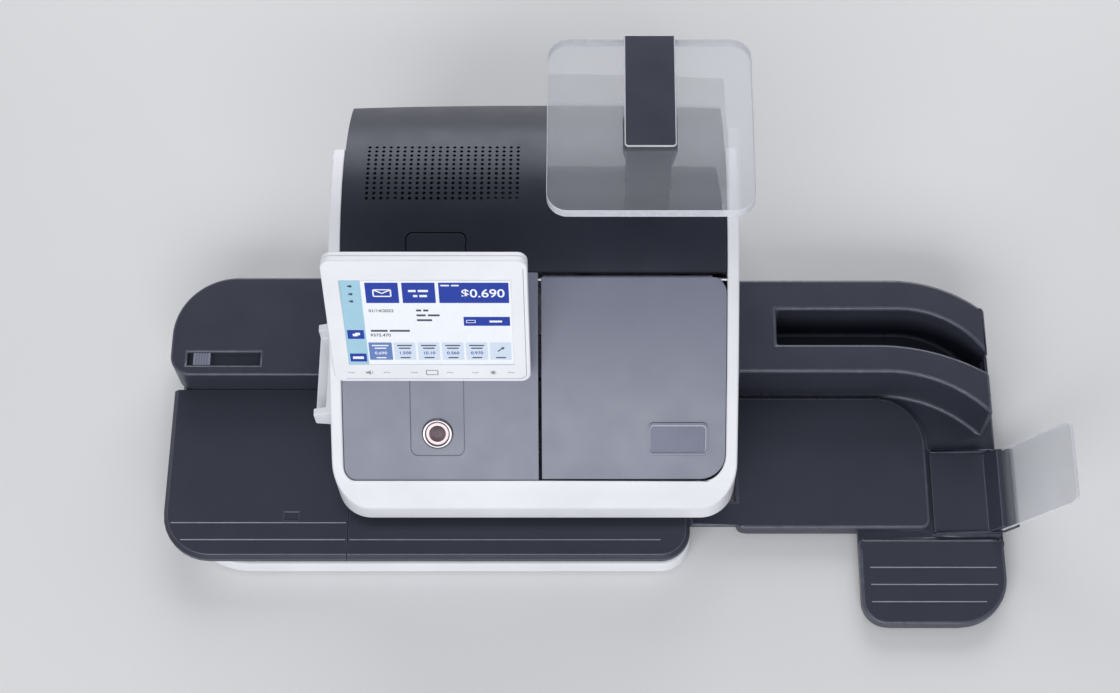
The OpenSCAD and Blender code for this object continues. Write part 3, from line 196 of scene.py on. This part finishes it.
def brushed(name, colour, rough, squeeze):
    """Bare metal with a fine grain, drawn out across the axis that is squeezed most."""
    finish = Finish(name, colour, rough, metal=1.0)
    finish.mottle(size_mm=12, amount=0.06).smudge(size_mm=6, amount=0.06)
    return finish.grain(0.4, depth_mm=0.02, strength=0.3, squeeze=squeeze).material


def lit(name, colour, glow=0.12):
    """A lit part of the screen under its glossy glass."""
    finish = Finish(name, colour, 0.25, Emission_Color=colour, Emission_Strength=glow)
    return finish.mottle(size_mm=8, amount=0.015).smudge(size_mm=10, amount=0.03).material


WHITE = srgb(243, 244, 250)
CHARCOAL = srgb(56, 58, 70)
COOL_SHEEN = (0.78, 0.82, 1.0, 1.0)

chrome = Finish("bezel_chrome", srgb(150, 147, 152), 0.16, metal=1.0)
chrome.smudge(size_mm=3, amount=0.05).grain(0.3, depth_mm=0.01, strength=0.15)

ring_glow = srgb(255, 222, 226)
light_ring = Finish("lit_ring", srgb(246, 222, 226), 0.4, Emission_Color=ring_glow, Emission_Strength=0.25)
light_ring.mottle(size_mm=2, amount=0.05).smudge(size_mm=2, amount=0.08)

screen_glass = Finish("screen_glass", srgb(200, 214, 226), 0.15)
screen_glass.mottle(size_mm=20, amount=0.02).smudge(size_mm=15, amount=0.03)

acrylic = Finish("clear_acrylic", (0.84, 0.87, 0.93, 1.0), 0.05, Transmission_Weight=0.8, IOR=1.49, Alpha=0.5)
acrylic.smudge(size_mm=30, amount=0.02).grain(0.9, depth_mm=0.01, strength=0.06)

# Painted highlight: a pale, nearly opaque look in place of the glint of a polished acrylic edge
glint_acrylic = Finish("acrylic_edge_glint", srgb(232, 235, 243), 0.25, Alpha=0.8)
glint_acrylic.mottle(size_mm=6, amount=0.05).smudge(size_mm=8, amount=0.06)

# Grey of the printed touch marks, used also as painted shade in the bezel's groove line
mark_and_groove_grey = Finish("touch_mark_and_groove_shade", srgb(150, 152, 162), 0.5)
mark_and_groove_grey.mottle(size_mm=5, amount=0.05).smudge(size_mm=4, amount=0.05)

pale_floor = Finish("pale_floor", (0.8, 0.8, 0.81, 1.0), 0.7)
pale_floor.mottle(size_mm=300, amount=0.01)

materials = {
    "white_plastic": moulded("white_shell", WHITE, 0.38, 0.7),
    "charcoal_plastic": moulded("charcoal_deck", CHARCOAL, 0.36, Specular_Tint=COOL_SHEEN),
    "cover_plastic": moulded("cover_shell", srgb(38, 40, 51), 0.36, 0.45, Specular_Tint=COOL_SHEEN),
    "panel_plastic": moulded("panel_paint", srgb(126, 130, 148), 0.34, 0.4),
    "rubber": moulded("black_rubber", srgb(30, 30, 33), 0.75, 0.8),
    "black_plastic": moulded("black_moulding", srgb(26, 26, 29), 0.45),
    "circuit_board": moulded("solder_mask", srgb(22, 74, 45), 0.4),
    "motor_steel": moulded("motor_can", srgb(60, 61, 66), 0.4),
    "steel": brushed("plated_steel", srgb(196, 197, 201), 0.32, (1, 12, 1)),
    "aluminium": brushed("machined_aluminium", srgb(205, 207, 211), 0.3, (1, 1, 10)),
    "bronze": brushed("sintered_bronze", srgb(170, 138, 84), 0.45, (1, 1, 1)),
    "chrome": chrome.material,
    "button_metal": brushed("button_face", srgb(66, 58, 62), 0.34, (14, 1, 1)),
    "light_ring": light_ring.material,
    "screen": screen_glass.material,
    "clear_acrylic": acrylic.material,
}
# Painted highlight: the bevels of the dark mouldings, inner ones at the foot of walls too, get a paler material in
# place of the light that their rounded edges catch
edge_highlights = {
    "charcoal_plastic": moulded("charcoal_edge_highlight", srgb(82, 85, 99), 0.3, 0.4, (7, 0.16)),
    "cover_plastic": moulded("cover_edge_highlight", srgb(62, 64, 76), 0.32, 0.4, (7, 0.12)),
}
# Painted highlight for the tops of the low ridges, which catch the light
ridge_highlight = moulded("ridge_highlight", srgb(142, 145, 160), 0.32, 0.4, (9, 0.12))
# Pieces whose face or edges differ from the rest of their slot
own_face = {
    "door_badge": moulded("badge_lacquer", srgb(100, 103, 120), 0.26, 0.4, Specular_Tint=COOL_SHEEN),
}
own_edges = {
    "door_badge": moulded("badge_rim", srgb(196, 200, 214), 0.22, 0.4),
    # The clear strip's bevels take the painted glint of a polished edge
    "plate_strip": glint_acrylic.material,
}
for name, obj in nodes.items():
    obj.data.materials.clear()
    obj.data.materials.append(materials[slot_of[name]])


# Making of pieces

SHARP = math.radians(28)
BEVEL_STEPS = 3
# In a bevel, new faces keep the look of their neighbours
INHERIT = -1


def mesh_from(bm, name):
    mesh = bpy.data.meshes.new(name)
    bm.to_mesh(mesh)
    bm.free()
    return mesh


def smooth(mesh):
    mesh.shade_smooth()
    mesh.set_sharp_from_angle(angle=SHARP)


def finished(name, mesh, material, body):
    """Puts a mesh in the scene as a piece that rides a body."""
    obj = bpy.data.objects.new(name, mesh)
    bpy.context.scene.collection.objects.link(obj)
    mesh.materials.append(material)
    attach(obj, body)
    return obj


def piece_from(bm, name, material, body):
    bmesh.ops.recalc_face_normals(bm, faces=bm.faces)
    return finished(name, mesh_from(bm, name), material, body)


def stand_in(bm, name, node):
    """A smooth piece in the place of a CAD node, with the node's own look."""
    obj = piece_from(bm, name, materials[slot_of[node]], body_of[node])
    smooth(obj.data)
    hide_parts(node)
    return obj


def bevel(bm, edges, width, clamp, material=INHERIT):
    bmesh.ops.bevel(bm, geom=edges, offset=width, offset_type="OFFSET", segments=BEVEL_STEPS, profile=0.5,
                    affect="EDGES", clamp_overlap=clamp, material=material)


# Mouldings with rounded edges

# Widths of the rounding, in millimetres
ROUNDED = {
    "base_tray": 0.8, "feed_deck": 0.5, "main_deck": 0.5, "label_platform": 1.8, "label_inlet": 0.8,
    "outer_frame": 1.6, "rear_cover": 0.5, "front_panel": 0.5, "cartridge_door": 0.5, "door_badge": 0.3,
    "display_bezel": 1.2, "display_shell": 0.8, "display_bracket": 0.8, "weigh_plate": 0.8,
    "plate_strip": 0.9, "weigh_post": 0.8, "catch_tray": 2.6, "letter_stop": 0.6, "stop_slide": 0.6,
    "label_slider": 0.3, "top_key": 0.3,
}
# Places of the looks in a piece's list of materials
FACE, EDGE, RIDGE = 0, 1, 2
# Vertices of a node that are closer than this, in metres, are one
WELD = 1e-6
# A run of edges is rounded where its bends are wider than this many widths of the rounding
BEND_ROOM = 1.6
# The least turn between two edges of a run, in radians, so that a straight run still has a radius
LEAST_TURN = 1e-4
# Heights of the low ridges on the decks and on the tray's handle, whose tops get a paler material: painted
# highlight
RIDGE_TOPS = {"catch_tray": 15.4, "feed_deck": 30.4, "main_deck": 30.4}
RIDGE_TOP_MARGIN = 0.05
# A face that turns less than UPRIGHT towards Z, and is lower than RIDGE_SIDE_H, is the side of a ridge
UPRIGHT = 0.1
RIDGE_SIDE_H = 0.45
# The rear cover's topmost band reaches up to the top cover's underside, higher than in its node
RAISED = {"rear_cover": 10.4}
RAISED_BAND = 1.5
# Pieces that slide along X, by the piece that has their seat
SLIDERS = {"catch_tray": "stop_slide", "label_platform": "label_slider"}
# How strongly the larger of two faces sets the shading between them
FACE_WEIGHT = 100


def is_sharp(edge):
    return edge.is_manifold and edge.calc_face_angle(0) > SHARP


def bend_radius(edge):
    """About how tight the run of sharp edges is where this edge lies in it."""
    tightest = math.inf
    for vert in edge.verts:
        rest = [e for e in vert.link_edges if e is not edge and is_sharp(e)]
        if len(rest) == 1:
            far_a, far_b = edge.other_vert(vert).co, rest[0].other_vert(vert).co
            turn = (vert.co - far_a).angle(far_b - vert.co, 0)
            run = (edge.calc_length() + rest[0].calc_length()) / 2
        else:
            turn, run = math.pi / 2, edge.calc_length()
        tightest = min(tightest, run / max(turn, LEAST_TURN))
    return tightest


def on_ridge(edge):
    """Whether an edge borders the side of a ridge, which is too low to round."""
    for face in edge.link_faces:
        heights = [v.co.z for v in face.verts]
        if abs(face.normal.z) < UPRIGHT and max(heights) - min(heights) < RIDGE_SIDE_H * MM:
            return True
    return False


def in_seat(edge, node, room):
    """Whether an edge is an inner corner beside the piece that slides in this node."""
    if node not in SLIDERS or edge.is_convex:
        return False
    for axis in (Y, Z):
        low, high = span_of(SLIDERS[node], axis)
        ends = [v.co.dot(axis) for v in edge.verts]
        if max(ends) < low - room or min(ends) > high + room:
            return False
    return True


def softened(node, width_mm):
    """A copy of a CAD node whose sharp edges are rounded, in the node's place."""
    width = width_mm * MM
    bm = bmesh.new()
    bm.from_mesh(nodes[node].data)
    bmesh.ops.remove_doubles(bm, verts=bm.verts, dist=WELD)
    top = max(v.co.z for v in bm.verts)
    edges = [e for e in bm.edges if is_sharp(e) and bend_radius(e) > BEND_ROOM * width
             and not on_ridge(e) and not in_seat(e, node, width)]
    # The paler look of the bevels: painted highlight on the dark mouldings, painted glint on the clear strip, the
    # badge's own rim colour
    edge_look = own_edges.get(node, edge_highlights.get(slot_of[node]))
    bevel(bm, edges, width, clamp=False, material=EDGE if edge_look else INHERIT)
    # Painted highlight: the ridge tops take the paler material
    if node in RIDGE_TOPS:
        for face in bm.faces:
            if abs(face.calc_center_median().z - RIDGE_TOPS[node] * MM) < RIDGE_TOP_MARGIN * MM:
                face.material_index = RIDGE
    if node in RAISED:
        for vert in bm.verts:
            if vert.co.z > top - RAISED_BAND * MM:
                vert.co.z += RAISED[node] * MM
    bmesh.ops.triangulate(bm, faces=bm.faces)
    mesh = mesh_from(bm, "soft_" + node)
    smooth(mesh)
    face_look = own_face.get(node, materials[slot_of[node]])
    obj = finished("soft_" + node, mesh, face_look, body_of[node])
    if edge_look:
        mesh.materials.append(edge_look)
    if node in RIDGE_TOPS:
        mesh.materials.append(ridge_highlight)
    even = obj.modifiers.new("even_normals", "WEIGHTED_NORMAL")
    even.keep_sharp = True
    even.weight = FACE_WEIGHT
    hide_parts(node)
    return obj


pieces = {node: softened(node, width) for node, width in ROUNDED.items()}

# Faces whose direction agrees with that of a sheet's largest face by less than this are its cut edge
CUT_EDGE = 0.8


def bright_rim(obj):
    """Gives the narrow faces round a clear sheet a pale, nearly opaque look: painted highlight for the glint of a
    polished cut edge.
    """
    obj.data.materials.append(glint_acrylic.material)
    flat = max(obj.data.polygons, key=lambda f: f.area).normal.copy()
    for face in obj.data.polygons:
        face.material_index = EDGE if abs(face.normal.dot(flat)) < CUT_EDGE else FACE


for node in ("weigh_plate", "letter_stop"):
    bright_rim(pieces[node])


# The start button's turned bezel: the cup and sleeve of its node, with a crowned rim

RIM_H, RIM_OVER_SLEEVE, RING_GAP = 1.2, 1.6, 0.05
SLEEVE_FOOT, CUP_FLOOR = -9, -7
CROWN_FOOT, CROWN_RISE = 0.35, 1.25
CROWN_STEP_DEGREES = 12
TURNED_STEPS = 96
press = -Vector(joint_of["start_button_press"]["axis"]).normalized()
level = press.cross(X).normalized()


def lathe(name, profile, node, foot_mm):
    """A turned piece about the start button's axis; heights count from foot_mm under the node's top."""
    foot = span_of(node, press)[1] - foot_mm * MM
    centre = X * middle_of(node, X) + level * middle_of(node, level)
    bm = bmesh.new()
    rings = []
    for radius, height in profile:
        hub = centre + press * (foot + height * MM)
        turns = [2 * math.pi * k / TURNED_STEPS for k in range(TURNED_STEPS)] if radius else [0]
        reach = radius * MM
        rings.append([bm.verts.new(hub + X * (reach * math.cos(t)) + level * (reach * math.sin(t)))
                      for t in turns])
    for low, high in zip(rings, rings[1:]):
        for k in range(TURNED_STEPS):
            corners = [ring[i % len(ring)] for ring, i in ((low, k), (low, k + 1), (high, k + 1), (high, k))]
            bm.faces.new(list(dict.fromkeys(corners)))
    stand_in(bm, name, node)


rim_r = radius_of("button_bezel")
ring_r = radius_of("button_ring") + RING_GAP
sleeve_r = rim_r - RIM_OVER_SLEEVE
half_rim = (rim_r - ring_r) / 2
crown_turns = [math.radians(a) for a in range(0, 181, CROWN_STEP_DEGREES)]
crown = [(ring_r + half_rim + half_rim * math.cos(t), CROWN_FOOT + CROWN_RISE * math.sin(t))
         for t in crown_turns]
sleeve = [(0, SLEEVE_FOOT), (sleeve_r, SLEEVE_FOOT), (sleeve_r, 0), (rim_r, 0)]
cup = [(ring_r, CUP_FLOOR), (0, CUP_FLOOR)]
lathe("turned_bezel", sleeve + crown + cup, "button_bezel", RIM_H)


# The press springs, which stand on the base, as smooth pieces in their nodes' places

for node, joint in (("infeed_spring", "infeed_press_dip"), ("exit_spring", "exit_press_dip")):
    bm = bmesh.new()
    bm.from_mesh(nodes[node].data)
    coil = stand_in(bm, "coil_" + node, node)
    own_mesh(coil)


# The low wall that closes the right end of the tray's trough, with a ledge on its inside

END_X, END_Y, END_FOOT = 308.7, (-2.8, 13.6), 3.2
END_ROUNDING = 0.6
WALL_T, WALL_TOP = 2.4, 57.0
LEDGE_T, LEDGE_TOP = 3.8, 49.0
# The ledge stays this far inside the wall's outer faces
LEDGE_INSET = 0.8


def prism_of(outline, low, high):
    """A solid with softened edges over a plan outline of (x, y) points in millimetres."""
    bm = bmesh.new()
    base = bm.faces.new([bm.verts.new((x * MM, y * MM, low * MM)) for x, y in outline])
    grown = bmesh.ops.extrude_face_region(bm, geom=[base])["geom"]
    top = [v for v in grown if isinstance(v, bmesh.types.BMVert)]
    bmesh.ops.translate(bm, vec=(0, 0, (high - low) * MM), verts=top)
    bevel(bm, list(bm.edges), END_ROUNDING * MM, clamp=True)
    return bm


for name, thick, inset, top in (
        ("tray_end_wall", WALL_T, 0.0, WALL_TOP), ("tray_end_ledge", LEDGE_T, LEDGE_INSET, LEDGE_TOP)):
    x0, x1 = END_X - thick, END_X - inset
    y0, y1 = END_Y[0] + inset / 2, END_Y[1] - inset / 2
    solid = prism_of([(x0, y0), (x1, y0), (x1, y1), (x0, y1)], END_FOOT + inset, top)
    piece_from(solid, name, materials["charcoal_plastic"], "housing")


# Flat shapes on the display's own plane

TILT = math.radians(70)
ACROSS = X
UP = Vector((0, math.cos(TILT), math.sin(TILT)))
OUT = Vector((0, -math.sin(TILT), math.cos(TILT)))
SHAPE_T = 0.05
TILE_CORNER, PLAIN_CORNER, BAR_CORNER = 0.5, 0.3, 0.2
CORNER_STEPS, DISC_STEPS = 4, 24


def arc(cx, cy, radius, start, sweep, steps):
    """Points along an arc, from a start through a sweep in degrees."""
    turns = [math.radians(start + sweep * k / steps) for k in range(steps + 1)]
    return [(cx + radius * math.cos(t), cy + radius * math.sin(t)) for t in turns]


def rounded_box(x0, y0, x1, y1, radius):
    corners = [(x1 - radius, y1 - radius, 0), (x0 + radius, y1 - radius, 90),
               (x0 + radius, y0 + radius, 180), (x1 - radius, y0 + radius, 270)]
    return [p for cx, cy, start in corners for p in arc(cx, cy, radius, start, 90, CORNER_STEPS)]


def disc(cx, cy, radius, steps=DISC_STEPS):
    return arc(cx, cy, radius, 0, 360, steps)[:-1]


def stroke(a, b, width):
    """The outline of a straight stroke from a to b."""
    a, b = Vector(a), Vector(b)
    side = (b - a).normalized().orthogonal() * (width / 2)
    return [tuple(a + side), tuple(a - side), tuple(b - side), tuple(b + side)]


def box_sides(x0, y0, x1, y1):
    """The sides of a box, each as the two corners that it joins."""
    corners = [(x0, y0), (x1, y0), (x1, y1), (x0, y1)]
    return list(zip(corners, corners[1:] + corners[:1]))


class Picture:
    """The face of a tilted node, set in on all sides, on which flat shapes are laid."""

    def __init__(self, node, inset_mm=0.0):
        inset = inset_mm * MM
        (left, right), (low, high), (_, front) = (span_of(node, axis) for axis in (ACROSS, UP, OUT))
        self.origin = ACROSS * (left + inset) + UP * (low + inset) + OUT * front
        self.width = right - left - 2 * inset
        self.height = high - low - 2 * inset

    def point(self, x, y, lift_mm):
        return self.origin + ACROSS * x + UP * y + OUT * (lift_mm * MM)

    def prism(self, bm, outline, lift_mm):
        """A thin solid over an outline of (x, y) points in metres."""
        low = [bm.verts.new(self.point(x, y, lift_mm - SHAPE_T)) for x, y in outline]
        high = [bm.verts.new(self.point(x, y, lift_mm)) for x, y in outline]
        bm.faces.new(high)
        bm.faces.new(low[::-1])
        for i, a in enumerate(low):
            j = (i + 1) % len(low)
            bm.faces.new((a, low[j], high[j], high[i]))

    def sign(self, bm, at, outline, lift_mm):
        """A thin solid over an outline of (x, y) points in millimetres about a point."""
        self.prism(bm, [(at[0] + x * MM, at[1] + y * MM) for x, y in outline], lift_mm)

    def share(self, u, v):
        """A point at shares of the picture's width from the left and height from the top."""
        return u * self.width, (1 - v) * self.height

    def tile(self, bm, u0, v0, u1, v1, lift_mm, radius_mm=TILE_CORNER):
        x0, y1 = self.share(u0, v0)
        x1, y0 = self.share(u1, v1)
        self.prism(bm, rounded_box(x0, y0, x1, y1, radius_mm * MM), lift_mm)


# Screen picture

SCREEN_INSET = 2.6
picture = Picture("display_screen", SCREEN_INSET)
# Heights of the layers over the glass, in millimetres
GROUND, PANE, MARK, FINE, FINEST = 0.1, 0.2, 0.3, 0.4, 0.46
ui_white = lit("ui_white", srgb(236, 240, 246))
ui_sky = lit("ui_sky", srgb(158, 200, 220))
ui_blue = lit("ui_blue", srgb(4, 50, 158))
ui_steel = lit("ui_steel", srgb(96, 126, 186))
ui_pale = lit("ui_pale", srgb(206, 220, 236))
ui_ink = lit("ui_ink", srgb(72, 78, 98), glow=0.05)

# Places are shares of the picture's width from the left (u) and of its height from the top (v)
COLUMN_END = 0.122
COLUMN_KEYS = [(0.012, 0.585, 0.112, 0.69), (0.012, 0.868, 0.112, 0.965)]
TILE_ROW = (0.035, 0.268)
TILES = [(0.147, 0.341), (0.362, 0.556), (0.577, 0.987)]
WIDE_KEY = (0.712, 0.43, 0.987, 0.535)
CHOICE_ROW = (0.735, 0.945)
CHOICES = [(0.131, 0.27), (0.281, 0.411), (0.426, 0.556), (0.571, 0.701), (0.715, 0.845), (0.858, 0.988)]
TOOL_AT, POST_AT, SLIP_AT, CARDS_AT = (0.923, 0.822), (0.244, 0.152), (0.757, 0.483), (0.064, 0.637)
COLUMN_SIGNS_AT = [(0.062, 0.075), (0.062, 0.165), (0.062, 0.248)]
# Bars in place of words: left end, middle height, lengths and thickness
WORD_H, CHOICE_WORD_H, WORD_GAP = 0.022, 0.014, 0.012
INK_WORDS = [
    (0.435, 0.355, [0.03, 0.03], WORD_H), (0.435, 0.412, [0.055, 0.07], WORD_H),
    (0.435, 0.469, [0.09], WORD_H), (0.155, 0.595, [0.1, 0.12], WORD_H),
]
CHALK_WORDS = [
    (0.398, 0.128, [0.045, 0.06], 0.024), (0.425, 0.186, [0.025, 0.045], 0.024),
    (0.59, 0.066, [0.05, 0.045], 0.016), (0.865, 0.483, [0.075], WORD_H),
]
COLUMN_WORD = (0.028, 0.917, [0.066], 0.03)
# Bars on the tiles of the lowest row: middle height and length
CHOSEN_WORDS = [(0.77, 0.1), (0.803, 0.07), (0.918, 0.06)]
CHOICE_WORDS = [(0.77, 0.09), (0.803, 0.07), (0.918, 0.06)]
TOOL_WORDS = [(0.918, 0.06)]


def screen_piece(bm, name, material):
    return piece_from(bm, name, material, "display")


def words(bm, u, v, lengths, height, lift_mm):
    """A row of small bars in place of words."""
    for length in lengths:
        picture.tile(bm, u, v - height / 2, u + length, v + height / 2, lift_mm, BAR_CORNER)
        u += length + WORD_GAP


def choice_words(bm, choice, rows):
    """Bars across the middle of a tile in the lowest row."""
    middle = sum(choice) / 2
    for v, length in rows:
        words(bm, middle - length / 2, v, [length], CHOICE_WORD_H, MARK)


ground = bmesh.new()
picture.tile(ground, 0, 0, 1, 1, GROUND, PLAIN_CORNER)
screen_piece(ground, "screen_ground", ui_white)

column = bmesh.new()
picture.tile(column, 0, 0, COLUMN_END, 1, PANE, PLAIN_CORNER)
screen_piece(column, "screen_column", ui_sky)

panes = bmesh.new()
for u0, u1 in TILES:
    picture.tile(panes, u0, TILE_ROW[0], u1, TILE_ROW[1], PANE)
picture.tile(panes, *WIDE_KEY, PANE)
for key in COLUMN_KEYS:
    picture.tile(panes, *key, MARK)
screen_piece(panes, "screen_blue_tiles", ui_blue)

for name, material, row in (
        ("screen_chosen_tile", ui_steel, CHOICES[:1]), ("screen_pale_tiles", ui_pale, CHOICES[1:])):
    choices = bmesh.new()
    for u0, u1 in row:
        picture.tile(choices, u0, CHOICE_ROW[0], u1, CHOICE_ROW[1], PANE)
    screen_piece(choices, name, material)


# Signs on the screen, with their sizes in millimetres about their own places

def tool_sign(bm, at):
    """A stick with a round head."""
    picture.sign(bm, at, stroke((-2.2, -1.8), (1.6, 1.6), 1.0), MARK)
    picture.sign(bm, at, disc(1.8, 1.8, 1.2, steps=10), FINE)


def column_sign(bm, at):
    """A dot crossed by a bar."""
    picture.sign(bm, at, disc(0, 0, 1.3, steps=8), MARK)
    picture.sign(bm, at, rounded_box(-2.1, -0.6, 1.2, 0.6, 0.2), FINE)


def post_sign(bm, at):
    """A box with a folded flap."""
    half, high, tip = 6.46, 3.4, (0, -0.34)
    flap = [((-half, high), tip), ((half, high), tip)]
    for side in box_sides(-half, -high, half, high) + flap:
        picture.sign(bm, at, stroke(*side, 1.1), MARK)


def slip_sign(bm, at):
    """An empty strip."""
    for side in box_sides(-3.6, -1.3, 3, 1.3):
        picture.sign(bm, at, stroke(*side, 0.5), MARK)


def cards_sign(bm, at):
    """Two cards, one before the other."""
    picture.sign(bm, at, rounded_box(-2.6, -1.8, 1.2, 0.9, 0.4), FINE)
    picture.sign(bm, at, rounded_box(-0.6, -0.6, 3.0, 2.0, 0.4), FINEST)


ink = bmesh.new()
for row in INK_WORDS:
    words(ink, *row, PANE)
for choice in CHOICES[1:-1]:
    choice_words(ink, choice, CHOICE_WORDS)
choice_words(ink, CHOICES[-1], TOOL_WORDS)
tool_sign(ink, picture.share(*TOOL_AT))
for place in COLUMN_SIGNS_AT:
    column_sign(ink, picture.share(*place))
screen_piece(ink, "screen_ink", ui_ink)

chalk = bmesh.new()
post_sign(chalk, picture.share(*POST_AT))
for row in CHALK_WORDS:
    words(chalk, *row, MARK)
slip_sign(chalk, picture.share(*SLIP_AT))
cards_sign(chalk, picture.share(*CARDS_AT))
words(chalk, *COLUMN_WORD, FINE)
choice_words(chalk, CHOICES[0], CHOSEN_WORDS)
screen_piece(chalk, "screen_chalk", ui_white)


# Figures on the screen

# A font's size over the height of its figures, and how much bolder they are drawn than the font
FONT_SIZE, FONT_BOLDER = 1.42, 0.018
FIGURE_HALF_T = 0.02
PRICE_H, SMALL_H, CHOICE_H = 8.3, 2.9, 3.0
PRICE_AT, DATE_AT, CREDIT_AT = (0.835, 0.16), (0.228, 0.36), (0.21, 0.648)
CHOICE_V = 0.862
CHOICE_PRICES = ["0.690", "1.500", "10.10", "0.560", "0.970"]


def number(name, body_text, place_share, height_mm, material, lift_mm):
    """Plain figures about a place that is given in shares, as a thin solid on the screen."""
    curve = bpy.data.curves.new(name, "FONT")
    curve.body = body_text
    curve.size = height_mm * MM * FONT_SIZE
    curve.align_x, curve.align_y = "CENTER", "CENTER"
    curve.extrude = FIGURE_HALF_T * MM
    curve.offset = FONT_BOLDER * height_mm * MM
    maker = bpy.data.objects.new(name + "_maker", curve)
    bpy.context.scene.collection.objects.link(maker)
    bpy.context.view_layer.update()
    mesh = bpy.data.meshes.new_from_object(maker.evaluated_get(bpy.context.evaluated_depsgraph_get()))
    bpy.data.objects.remove(maker)
    on_screen = Matrix((ACROSS, UP, OUT)).transposed().to_4x4()
    on_screen.translation = picture.point(*picture.share(*place_share), lift_mm)
    mesh.transform(on_screen)
    mesh.name = name
    return finished(name, mesh, material, "display")


number("screen_price", "$0.690", PRICE_AT, PRICE_H, ui_white, MARK)
number("screen_date", "01/14/2022", DATE_AT, SMALL_H, ui_ink, PANE)
number("screen_credit", "$575.470", CREDIT_AT, SMALL_H, ui_ink, PANE)
for i, (price, choice) in enumerate(zip(CHOICE_PRICES, CHOICES)):
    look = ui_white if i == 0 else ui_blue
    number(f"screen_choice_{i + 1}", price, (sum(choice) / 2, CHOICE_V), CHOICE_H, look, MARK)


# Touch marks on the bezel below the screen

bezel = Picture("display_bezel")
MARK_Y, MARK_STEP = 10.2 * MM, 13.6 * MM
MARK_LIFT = 0.06
touch = bmesh.new()


def chevron(at, rise):
    """A flat arrow that points up, or down where its rise is below nought."""
    for side in (-2.6, 2.6):
        bezel.sign(touch, at, stroke((side, -rise / 2), (0, rise / 2), 0.55), MARK_LIFT)


def speaker_mark(at):
    horn = [(-2.4, -1), (-0.8, -1), (1.2, -2.4), (1.2, 2.4), (-0.8, 1), (-2.4, 1)]
    bezel.sign(touch, at, horn, MARK_LIFT)
    bezel.sign(touch, at, stroke((2.4, -1.3), (2.4, 1.3), 0.6), MARK_LIFT)


def frame_mark(at):
    for side in box_sides(-4.4, -2.4, 4.4, 2.4):
        bezel.sign(touch, at, stroke(*side, 0.8), MARK_LIFT)


def sun_mark(at):
    bezel.sign(touch, at, disc(0, 0, 1.7), MARK_LIFT)
    for k in range(8):
        ray = Vector((math.cos(math.radians(45 * k)), math.sin(math.radians(45 * k))))
        bezel.sign(touch, at, stroke(ray * 2.1, ray * 2.8, 0.4), MARK_LIFT)


for from_middle, mark in ((-48.4 * MM, speaker_mark), (0.0, frame_mark), (47.0 * MM, sun_mark)):
    x = bezel.width / 2 + from_middle
    chevron((x - MARK_STEP, MARK_Y), -1.0)
    chevron((x + MARK_STEP, MARK_Y), 1.0)
    mark((x, MARK_Y))
piece_from(touch, "bezel_touch_marks", mark_and_groove_grey.material, "display")


# The shallow line moulded round the bezel's right and lower edges, drawn as a thin grey band on the bezel: painted
# shade of the groove

LINE_IN, LINE_W, LINE_R = 3.2 * MM, 0.45 * MM, 6.0 * MM
LINE_TOP_IN = 2.5 * LINE_IN
LINE_STEPS = 6
left, right = LINE_IN + LINE_R, bezel.width - LINE_IN
low, high = LINE_IN, bezel.height - LINE_TOP_IN
bend = arc(right - LINE_R, low + LINE_R, LINE_R, -90, 90, LINE_STEPS)
route = [(left, low)] + bend + [(right, high)]
groove_shade = bmesh.new()
for a, b in zip(route, route[1:]):
    bezel.prism(groove_shade, stroke(a, b, LINE_W), MARK_LIFT)
piece_from(groove_shade, "bezel_groove_shade", mark_and_groove_grey.material, "display")


# Floor, light and camera

FLOOR_REACH = 6.0
FLOOR_DROP = 0.2 * MM
SKY_COLOUR, SKY_STRENGTH = (0.93, 0.95, 1.0, 1.0), 0.3
SENSOR_W, LENS = 36, 64.286
# How far the frame's middle lies to the side of the lens's axis, as a share of the frame's width
CAMERA_SHIFT = -0.03125
CAMERA_PLACE = (-0.0146287, -0.6497, 1.5688)
LOOK_DOWN_DEGREES = 66

corners = [(-FLOOR_REACH, -FLOOR_REACH), (FLOOR_REACH, -FLOOR_REACH),
           (FLOOR_REACH, FLOOR_REACH), (-FLOOR_REACH, FLOOR_REACH)]
floor_mesh = bpy.data.meshes.new("floor")
floor_mesh.from_pydata([(x, y, 0) for x, y in corners], [], [(0, 1, 2, 3)])
floor = bpy.data.objects.new("floor", floor_mesh)
floor.location.z = cad_box[0][2] - FLOOR_DROP
bpy.context.scene.collection.objects.link(floor)
floor_mesh.materials.append(pale_floor.material)

world = bpy.data.worlds.new("studio")
bpy.context.scene.world = world
world.use_nodes = True
sky = world.node_tree.nodes["Background"]
sky.inputs["Color"].default_value = SKY_COLOUR
sky.inputs["Strength"].default_value = SKY_STRENGTH


def softbox(name, place, aim, size, watts):
    light = bpy.data.lights.new(name, "AREA")
    light.shape = "RECTANGLE"
    light.size, light.size_y = size
    light.energy = watts
    obj = bpy.data.objects.new(name, light)
    obj.location = place
    obj.rotation_euler = (Vector(aim) - Vector(place)).to_track_quat("-Z", "Y").to_euler()
    bpy.context.scene.collection.objects.link(obj)


softbox("front_light", place=(-0.3, -1.7, 1.35), aim=(0, 0, 0.08), size=(2.2, 1.0), watts=29)
softbox("back_light", place=(0.1, 1.75, 0.95), aim=(0, 0.1, 0.15), size=(2.2, 1.3), watts=27)

camera_data = bpy.data.cameras.new("camera")
camera_data.sensor_fit = "HORIZONTAL"
camera_data.sensor_width = SENSOR_W
camera_data.lens = LENS
camera_data.shift_x = CAMERA_SHIFT
camera = bpy.data.objects.new("camera", camera_data)
camera.location = CAMERA_PLACE
camera.rotation_euler = (math.radians(90 - LOOK_DOWN_DEGREES), 0, 0)
bpy.context.scene.collection.objects.link(camera)
bpy.context.scene.camera = camera
bpy.context.scene.view_settings.view_transform = "Standard"
